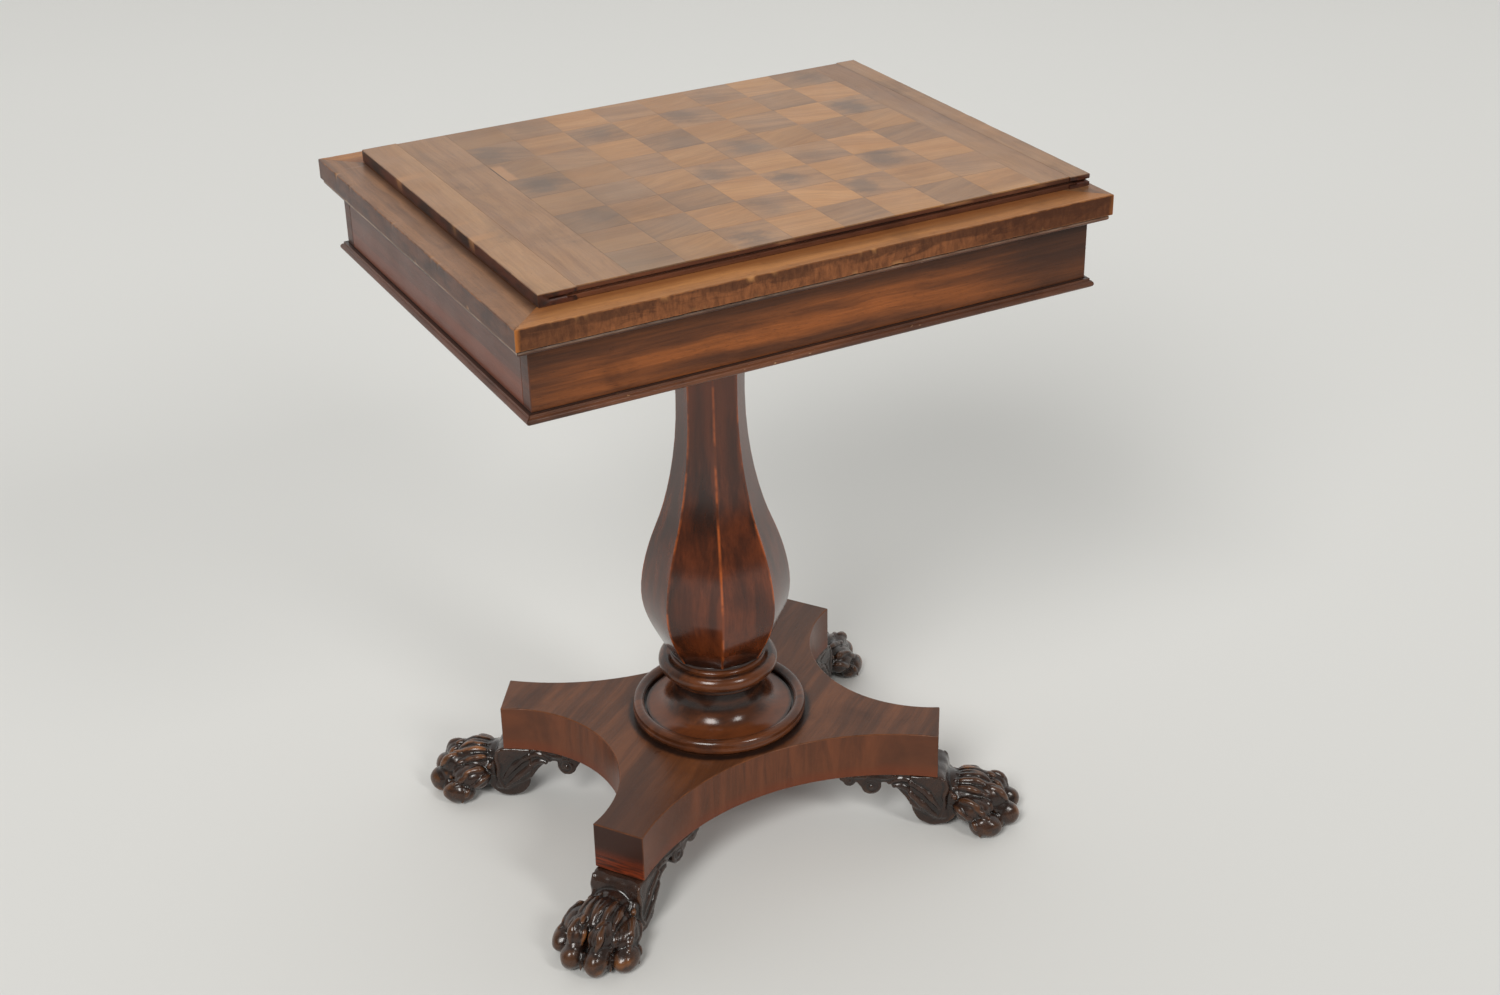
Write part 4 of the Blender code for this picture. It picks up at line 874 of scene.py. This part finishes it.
def cleat(node, way):
    low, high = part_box(node)
    outer = high[0] if way > 0 else low[0]
    bm = node_copy(node)
    closed_up(bm)
    sliced(bm, 1, pitch=0.006)
    eased(bm, width=0.0008, which=lambda e: runs_along(1)(e) and abs(e.verts[0].co.x - outer) < 0.001)

    def arris(co):
        return math.hypot(co.x - outer, co.z - high[2])

    def inward(co):
        return Vector((-way * 0.6, 0.0, -0.6))

    chipped(bm, arris, inward, reach=0.0020, depth=0.0006, pitch=0.02, seed=6.1)
    stands_for(finished(node + "_worn", bm, "cleat"), BOARD, node)


def board_pieces():
    for n in range(1, 9):
        eased_copy("chequer_row_%d" % n, BOARD, "chequer", 0.00008, close=True)
    for side in ("left", "right"):
        eased_copy(side + "_field_strip", BOARD, "strip", 0.00010, close=True)
    board_core()
    for side, way in (("left", -1), ("right", 1)):
        cleat(side + "_cleat", way)
    for side in ("front", "back"):
        eased_copy(side + "_guide_batten", BOARD, "deal", 0.0008)


# Top frame and box

def frame_rail(side):
    """A rail with its two outer arrises chipped and rubbed."""
    node = "frame_rail_" + side
    axis = 0 if side in ("front", "back") else 1
    across = 1 - axis
    way = -1 if side in ("front", "left") else 1
    half, face = FRAME_BOX[1][axis], FRAME_BOX[1][across]
    middle, rise = FRAME_BOX[0][2], FRAME_BOX[1][2]
    low, high = middle - rise, middle + rise
    flat, upright = Vector(), Vector((0, 0, 1))
    flat[across] = way
    bm = node_copy(node)
    cut(bm, flat * (face - 0.006), flat)
    cut(bm, upright * (high - 0.006), upright)
    cut(bm, upright * (low + 0.005), upright)
    sliced(bm, axis, pitch=0.002)
    eased(bm, width=0.0013, segments=3, which=runs_along(axis))
    for v in bm.verts:
        v.co[axis] *= 1.0 + 0.9 * GLUE_GAP / half
    for level, depth, seed in ((high, 0.0021 if side == "front" else 0.0014, 1.3), (low, 0.0009, 5.1)):

        def arris(co):
            return math.hypot(co[across] * way - face, co.z - level)

        def inward(co):
            from_mitre = min(1.0, max(0.0, (half - abs(co[axis]) - 0.002) / 0.012))
            return (flat * -0.7 - upright * math.copysign(0.7, level - middle)) * from_mitre

        chipped(bm, arris, inward, reach=0.0035, depth=depth, pitch=0.008, seed=seed)
    finish = "rail_long" if axis == 0 else "rail_end"
    stands_for(finished(node + "_worn", bm, finish), TABLE, node)


def box_pieces():
    for side in SIDES:
        kind = "long" if side in ("front", "back") else "end"
        eased_copy("frieze_" + side, TABLE, "frieze_" + kind, 0.0006)
        eased_copy("top_moulding_" + side, TABLE, "moulding_" + kind, 0.0003)
        eased_copy("lower_moulding_" + side, TABLE, "moulding_" + kind, 0.0004)
    eased_copy("bottom_board", TABLE, "deal", 0.0008)
    eased_copy("column_bearer", TABLE, "deal", 0.0012)
    for corner in CORNERS:
        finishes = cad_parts["bearer_screw_" + corner].data.materials
        finishes.clear()
        finishes.append(FINISH["iron"])


def well_cloth():
    """The baize laid on the bottom of the well, a little rippled."""
    lift, ripple, thickness = 0.0008, 0.0004, 0.0012
    low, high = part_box("well_lining")
    width, depth = high[0] - low[0], high[1] - low[1]
    bm = bmesh.new()
    bmesh.ops.create_grid(bm, x_segments=60, y_segments=48, size=0.5)
    bmesh.ops.scale(bm, vec=(width, depth, 1.0), verts=bm.verts)
    for v in bm.verts:
        v.co.z = low[2] + lift + abs(noise.noise(Vector((v.co.x * 18, v.co.y * 18, 4.0))) * ripple)
    cloth = finished("well_baize", bm, "baize", recalc=True)
    thick = cloth.modifiers.new("thickness", "SOLIDIFY")
    thick.thickness = thickness
    thick.offset = 1.0
    stands_for(cloth, TABLE, "well_lining")


# Column

BORE = 0.0173


def arc(middle, radius, start, end, steps):
    angles = [math.radians(start + (end - start) * i / steps) for i in range(steps + 1)]
    return [(middle[0] + radius * math.cos(a), middle[1] + radius * math.sin(a)) for a in angles]


def turned_span(node):
    """A turned member's lowest and highest level, and its reach from the axis."""
    low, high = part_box(node)
    return low[2], high[2], high[0]


def turning(name, node, top, outside, low):
    """Spin a member's outside, (radius, height) points from the top down, about the column's axis."""
    bm = bmesh.new()
    verts = [bm.verts.new((r, 0.0, z)) for r, z in [(BORE, top)] + outside + [(BORE, low)]]
    edges = [bm.edges.new(pair) for pair in zip(verts, verts[1:] + verts[:1])]
    bmesh.ops.spin(
        bm, geom=verts + edges, cent=(0, 0, 0), axis=(0, 0, 1), angle=2 * math.pi, steps=120,
        use_merge=True,
    )
    stands_for(finished(name, bm, "turned", sharp=50, recalc=True), TABLE, node)


def collar():
    low, high, reach = turned_span("collar")
    fillet, bead = 0.051, 0.009
    outside = [(fillet - 0.0008, high), (fillet, high - 0.0008), (fillet, high - 0.0034)]
    outside += arc((fillet + 0.0008, high - 0.0062), 0.0028, 110, 250, 10)
    outside += arc((reach - bead, low + bead), bead, 96, -90, 28)
    turning("collar_turned", "collar", high, outside, low)


def socle_neck():
    low, high, _ = turned_span("socle_neck")
    fillet, neck, plate, edge = 0.0535, 0.0468, 0.0780, 0.003
    hollow_top = high - 0.006
    outside = [(min(r, fillet), z) for r, z in arc((fillet - 0.002, high - 0.003), 0.003, 90, -90, 10)]
    for step in range(29):
        share = step / 28
        inward = math.cos(math.pi / 2 * share) if share < 1 else 0.0
        fall = math.sin(math.pi / 2 * share)
        radius = plate - (plate - neck) * inward ** 0.75
        outside.append((radius, hollow_top - (hollow_top - low - edge) * fall ** 0.75))
    outside += [(plate, low)]
    turning("neck_turned", "socle_neck", high, outside, low)


def base_ring():
    low, high, reach = turned_span("base_ring")
    rim, nose = 0.012, 0.0062
    half = rim / 2
    floor = low + 0.0065
    outside = [(reach - rim, floor)] + arc((reach - half, high - half), half, 180, 20, 18)
    outside += arc((reach - nose, low + nose), nose, 35, -70, 12)
    outside += [(reach - 0.0045, low)]
    turning("base_ring_turned", "base_ring", floor, outside, low)


def column_pieces():
    bm = node_copy("baluster")
    eased(bm, width=0.0011, angle=28)
    stands_for(finished("baluster_faceted", bm, "column", sharp=25), TABLE, "baluster")
    collar()
    socle_neck()
    base_ring()
    eased_copy("column_spindle", TABLE, "deal", 0.0006)
    eased_copy("spindle_wedge", TABLE, "deal", 0.0004)
    for corner in CORNERS:
        eased_copy("foot_dowel_" + corner, TABLE, "deal", 0.0006)


# Platform

def hollow_side(half_chord, chord_level, waist):
    """Points along one hollow side, as (along, outward) pairs."""
    steps = 44
    radius = side_radius(half_chord, chord_level, waist)
    swing = math.asin(half_chord / radius)
    turns = [swing * (1 - 2 * step / steps) for step in range(steps + 1)]
    return [(radius * math.sin(turn), waist + radius - radius * math.cos(turn)) for turn in turns]


def platform_piece():
    near_x, near_y = cant_ends()
    long_side = hollow_side(near_y[0], near_y[1], LONG_WAIST)
    short_side = hollow_side(near_x[1], near_x[0], SHORT_WAIST)
    outline = long_side + [(-o, a) for a, o in short_side]
    outline += [(-a, -o) for a, o in long_side] + [(o, -a) for a, o in short_side]
    bm = bmesh.new()
    face = bm.faces.new([bm.verts.new((x, y, PLATFORM_LOW)) for x, y in outline])
    raised(bm, face, (0.0, 0.0, PLATFORM_HIGH - PLATFORM_LOW))
    eased(bm, width=0.0013, segments=3)
    stands_for(finished("platform_veneered", bm, "platform"), TABLE, "platform")


# Carved feet, in millimetres: out of the corner, across, up

# Middle and radii of each round mass
PAW_MASSES = [
    ((34, 0, 30), (29, 28, 25)),
    ((14, 0, 30), (20, 25, 26)),
    ((54, 12.5, 33), (21, 11.5, 15)),
    ((38, 27, 27), (20, 13, 15)),
    ((73, 13.3, 14.5), (16, 12.8, 14.5)),
    ((52, 35, 13), (18, 12.9, 13.4)),
    ((65, 13.2, 22.5), (15.2, 11.3, 12.2)),
]
# Hair locks: points along each, and the radius at its start, middle and end
PAW_LOCKS = [
    (((21, 1.5, 54), (33, 2.5, 57), (46, 1.5, 53), (58, 0, 45)), (2.0, 4.6, 2.8)),
    (((20, 10.5, 52.5), (32, 11.5, 56), (46, 10.5, 53), (60, 9.5, 45)), (2.0, 5.2, 3.0)),
    (((18, 18.5, 48), (28, 21, 51.5), (40, 21.5, 48.5), (52, 20.5, 41)), (2.0, 5.0, 3.0)),
    (((15, 24.5, 41), (24, 30, 43.5), (34, 32, 39.5), (43, 32, 33)), (1.0, 4.8, 2.8)),
    (((13, 26, 30), (20, 32, 32), (28, 36, 28), (35, 39, 22)), (0.8, 4.2, 2.4)),
    (((57, 3.5, 47), (65, 3.5, 40), (71, 3, 30)), (1.8, 4.0, 2.8)),
    (((58, 14, 46), (67, 14.5, 39.5), (75, 14.5, 30)), (1.8, 4.8, 2.2)),
    (((49, 24.5, 40), (57, 25.5, 33), (62, 25.5, 24)), (1.8, 4.2, 2.8)),
    (((40, 35, 35), (48, 37.5, 29.5), (55, 38.5, 22)), (1.8, 4.4, 2.2)),
    (((34, 40.5, 26), (39, 44, 20), (42, 46, 14)), (1.6, 3.4, 2.2)),
]
# Claws, tucked between the toes
PAW_CLAWS = [
    (((74, 0, 20), (80, 0, 13), (83, 0, 6)), (2.6, 2.2, 1.0)),
    (((66, 24, 18), (69.5, 26, 12), (71, 27, 6)), (2.6, 2.2, 1.0)),
    (((44, 43.5, 15), (46, 45, 10), (47, 46, 5)), (2.2, 1.9, 1.0)),
]
ANKLE_RIDGES = [
    (((9, 28, 64), (10, 28, 53), (7.5, 28, 42), (8.5, 28, 30), (3, 27, 15)), (2.4, 3.2, 2.0)),
    (((3, 27, 26), (-5, 28, 38), (-15, 28, 49), (-29, 28, 59)), (1.8, 4.6, 3.6)),
    (((0, 27, 17), (-9, 28, 25), (-19, 28, 35), (-29, 28, 45)), (1.8, 4.8, 3.8)),
]
BRACKET_RIDGES = [
    (((-27, 28, 58), (-37, 28, 61.5), (-46, 30, 59), (-52, 30, 55)), (3.4, 3.6, 1.4)),
    (((-27, 28, 43.5), (-35, 28, 51), (-43, 29, 53), (-49, 30, 50)), (3.6, 3.8, 1.6)),
    (((-44, 29, 64), (-54, 31, 62), (-64, 32, 63), (-72, 33, 64)), (1.6, 2.4, 1.4)),
    (((-76, 33, 64), (-84, 34, 65), (-92, 34, 66)), (1.2, 2.0, 1.2)),
]
# Middle, radius, turns, thickness and size of the eye
SCROLLS = [((-70.3, 52.2), 9.4, 1.75, 1.9, 3.2), ((-93.3, 60.8), 5.6, 1.2, 1.4, 2.2)]
SHANK_HALF_WIDTH = 27.5
SHANK_OUTLINE = [
    (-29.8, 66.7), (0, 66.7), (4.5, 65.6), (8.4, 62.8), (11.0, 58.6), (12.3, 53.0), (12.5, 47), (11.5, 38),
    (12, 12), (-2, 12), (-29.8, 29),
]
# Beads in each run
BEADS = 24
# Grain of the fused forms, in metres: roughed out, and finished
ROUGH_SKIN = 0.0012
FINE_SKIN = 0.0008


def ellipsoid(bm, middle, radii):
    matrix = Matrix.Translation(Vector(middle) * MM) @ Matrix.Diagonal((*(Vector(radii) * MM), 1.0))
    bmesh.ops.create_uvsphere(bm, u_segments=40, v_segments=24, radius=1.0, matrix=matrix)


def laid(forms, beads):
    """Add a run of round beads, each a middle and a radius, to the forms."""
    run = bmesh.new()
    for middle, radius in beads:
        bmesh.ops.create_icosphere(run, subdivisions=2, radius=radius, matrix=Matrix.Translation(middle))
    mesh = mesh_of("beads", run)
    forms.from_mesh(mesh)
    bpy.data.meshes.remove(mesh)


def curve_points(points, count):
    """Evenly spaced parameters on a smooth curve through the points."""
    made = []
    last = len(points) - 1
    for i in range(count):
        t = last * i / (count - 1)
        k = min(int(t), last - 1)
        s = t - k
        p0, p1, p2, p3 = points[max(k - 1, 0)], points[k], points[k + 1], points[min(k + 2, last)]
        made.append(0.5 * (2 * p1 + (p2 - p0) * s + (2 * p0 - 5 * p1 + 4 * p2 - p3) * s * s
                           + (3 * p1 - p0 - 3 * p2 + p3) * s ** 3))
    return made


def taper(radii, t):
    start, middle, end = radii
    return start + (middle - start) * 2 * t if t < 0.5 else middle + (end - middle) * (2 * t - 1)


def cord(ground, points, radii, sink):
    """A tapering run of beads, laid on the ground's surface and sunk into it by a share of their radius."""
    beads = []
    for i, at in enumerate(curve_points([Vector(p) * MM for p in points], BEADS)):
        radius = taper(radii, i / (BEADS - 1)) * MM
        if ground is not None:
            place, normal = ground.find_nearest(at)[:2]
            at = place - normal * radius * sink
        beads.append((at, radius))
    return beads


def lay_pairs(forms, ground, runs, sink=0.0):
    """Lay each run and its mirror image."""
    for points, radii in runs:
        across = [(u, -v, z) for u, v, z in points]
        laid(forms, cord(ground, points, radii, sink) + cord(ground, across, radii, sink))


def remeshed(bm, voxel):
    """The outer skin of overlapping forms, as a fresh bmesh."""
    mesh = mesh_of("forms", bm)
    holder = placed("forms", mesh)
    skin = holder.modifiers.new("skin", "REMESH")
    skin.mode = "VOXEL"
    skin.voxel_size = voxel
    graph = bpy.context.evaluated_depsgraph_get()
    fresh = bmesh.new()
    fresh.from_mesh(holder.evaluated_get(graph).to_mesh())
    bpy.data.objects.remove(holder, do_unlink=True)
    bpy.data.meshes.remove(mesh)
    return fresh


def shank(bm):
    verts = [bm.verts.new((u * MM, -SHANK_HALF_WIDTH * MM, z * MM)) for u, z in SHANK_OUTLINE]
    raised(bm, bm.faces.new(verts), (0.0, 2 * SHANK_HALF_WIDTH * MM, 0.0))
    eased(bm, width=0.003, segments=3, angle=50, which=lambda e: max(v.co.x for v in e.verts) > -0.028)


def drum(bm, out, up, radius, width):
    matrix = Matrix.Translation((out * MM, 0.0, up * MM)) @ Matrix.Rotation(math.pi / 2, 4, "X")
    bmesh.ops.create_cone(
        bm, cap_ends=True, segments=48, radius1=radius * MM, radius2=radius * MM, depth=width * MM,
        matrix=matrix,
    )


def relief_values(bm, rounds, height):
    """How far each vertex stands out, from 0 in a groove to 1 on a crest of half that height."""
    bm.verts.index_update()
    bm.normal_update()
    start = np.array([v.co for v in bm.verts])
    normals = np.array([v.normal for v in bm.verts])
    ends = np.array([(e.verts[0].index, e.verts[1].index) for e in bm.edges])
    count = np.bincount(ends.ravel(), minlength=len(start))[:, None]
    spread = start
    for _ in range(rounds):
        total = np.zeros_like(start)
        np.add.at(total, ends[:, 0], spread[ends[:, 1]])
        np.add.at(total, ends[:, 1], spread[ends[:, 0]])
        spread = total / count
    heights = ((start - spread) * normals).sum(axis=1)
    return np.clip(0.5 + heights / height, 0.0, 1.0)


def carve(bm, name, nodes_stem, tooling):
    """Fuse and soften the forms, make them uneven as tools leave them, and place a copy at each corner."""
    skin = remeshed(bm, FINE_SKIN)
    for _ in range(2):
        bmesh.ops.smooth_vert(
            skin, verts=skin.verts, factor=0.5, use_axis_x=True, use_axis_y=True, use_axis_z=True,
        )
    skin.normal_update()
    for v in skin.verts:
        v.co += v.normal * noise.noise(v.co * 95.0) * tooling
        v.co.z = min(max(v.co.z, 0.0), PLATFORM_LOW - GLUE_GAP)
    values = {
        "relief": relief_values(skin, rounds=9, height=0.0016),
        "crest": relief_values(skin, rounds=60, height=0.0050),
    }
    for corner, (flip_x, flip_y) in CORNERS.items():
        mesh = bpy.data.meshes.new(name + "_" + corner)
        skin.to_mesh(mesh)
        mesh.transform(Matrix.Diagonal((flip_x, flip_y, 1.0, 1.0)) @ FOOT_STAND)
        if flip_x * flip_y < 0:
            mesh.flip_normals()
        for kind, amounts in values.items():
            mesh.attributes.new(kind, "FLOAT", "POINT").data.foreach_set("value", amounts)
        mesh.shade_smooth()
        mesh.materials.append(FINISH["carved"])
        stands_for(placed(name + "_" + corner, mesh), TABLE, nodes_stem + corner)
    skin.free()


def paw_pieces():
    forms = bmesh.new()
    shank(forms)
    drum(forms, out=-2, up=28, radius=25, width=51)
    for (u, v, z), radii in PAW_MASSES:
        for across in ((v, -v) if v else (v,)):
            ellipsoid(forms, (u, across, z), radii)
    forms = remeshed(forms, ROUGH_SKIN)
    ground = BVHTree.FromBMesh(forms)
    lay_pairs(forms, ground, PAW_LOCKS, sink=0.28)
    lay_pairs(forms, ground, ANKLE_RIDGES, sink=0.30)
    lay_pairs(forms, None, PAW_CLAWS)
    carve(forms, "carved_paw", "paw_", tooling=0.0010)


def scroll(ground, u, z, radius, turns, thick, eye, side):
    """A coil of beads that winds in to a round eye, on one side of the bracket."""
    spots = [(u, z, eye)]
    for step in range(40):
        share = step / 39
        turn = math.radians(100) - share * turns * 2 * math.pi
        reach = radius * (1 - 0.72 * share)
        spots.append((u + reach * math.cos(turn), z + reach * math.sin(turn), thick * (1 - 0.35 * share)))
    beads = []
    for along, up, size in spots:
        place = ground.ray_cast(Vector((along, side * 60, up)) * MM, Vector((0, -side, 0)))[0]
        if place is not None:
            beads.append((place + Vector((0, -side * 0.25 * size * MM, 0)), size * MM))
    return beads


def bracket_pieces():
    bm = node_copy("leaf_bracket_front_right")
    bmesh.ops.transform(bm, matrix=FOOT_STAND.inverted(), verts=bm.verts)
    eased(bm, width=0.0014, angle=50, which=lambda e: max(v.co.x for v in e.verts) < -0.0295)
    ground = BVHTree.FromBMesh(bm)
    lay_pairs(bm, ground, BRACKET_RIDGES, sink=0.3)
    for (u, z), radius, turns, thick, eye in SCROLLS:
        for side in (-1, 1):
            laid(bm, scroll(ground, u, z, radius, turns, thick, eye, side))
    carve(bm, "carved_bracket", "leaf_bracket_", tooling=0.0003)


# Stage, light and camera

LAMP_TINT = (1.0, 0.99, 0.96)
CAMERA_PLACE = (-0.8772, -1.7116, 1.4132)
CAMERA_PITCH = 0.494295
CAMERA_YAW = 0.493168
CAMERA_ROLL = -0.019955
CAMERA_LENS = 51.29


def stage():
    bm = bmesh.new()
    bmesh.ops.create_circle(bm, cap_ends=True, segments=96, radius=14.0)
    mesh = mesh_of("studio_floor", bm)
    mesh.materials.append(floor_finish())
    placed("studio_floor", mesh)


def softbox(name, place, aim, size, power):
    lamp = bpy.data.lights.new(name, "AREA")
    lamp.shape = "RECTANGLE"
    lamp.size, lamp.size_y = size
    lamp.energy = power
    lamp.color = LAMP_TINT
    holder = placed(name, lamp)
    holder.location = place
    holder.rotation_euler = (Vector(aim) - Vector(place)).to_track_quat("-Z", "Y").to_euler()


def studio_light():
    """A pale room behind the table, dim in front of it, and two soft lamps at the front."""
    world = bpy.data.worlds.new("studio")
    world.use_nodes = True
    w = Wires(world.node_tree)
    depth = backward(w, w.node("ShaderNodeTexCoord").outputs["Generated"])
    room = w.mix(w.smooth(depth, -0.45, 0.75), (0.185, 0.178, 0.162), (0.95, 0.952, 0.935))
    w.feed(world.node_tree.nodes["Background"].inputs["Color"], room)
    bpy.context.scene.world = world
    softbox("left_softbox", place=(-3.3, -2.9, 4.1), aim=(0, 0, 0.4), size=(1.8, 2.3), power=215)
    softbox("right_softbox", place=(1.2, -4.3, 3.5), aim=(0, 0, 0.35), size=(1.0, 1.5), power=75)


def camera():
    lens = bpy.data.cameras.new("photo_view")
    lens.sensor_width = 36.0
    lens.lens = CAMERA_LENS
    holder = placed("photo_view", lens)
    turn = Matrix.Rotation(-CAMERA_YAW, 4, "Z") @ Matrix.Rotation(math.pi / 2 - CAMERA_PITCH, 4, "X")
    holder.matrix_world = Matrix.Translation(CAMERA_PLACE) @ turn @ Matrix.Rotation(CAMERA_ROLL, 4, "Z")
    bpy.context.scene.camera = holder


camera()
stage()
studio_light()
bpy.context.scene.view_settings.view_transform = "Standard"
board_pieces()
for rail_side in SIDES:
    frame_rail(rail_side)
box_pieces()
well_cloth()
column_pieces()
platform_piece()
paw_pieces()
bracket_pieces()
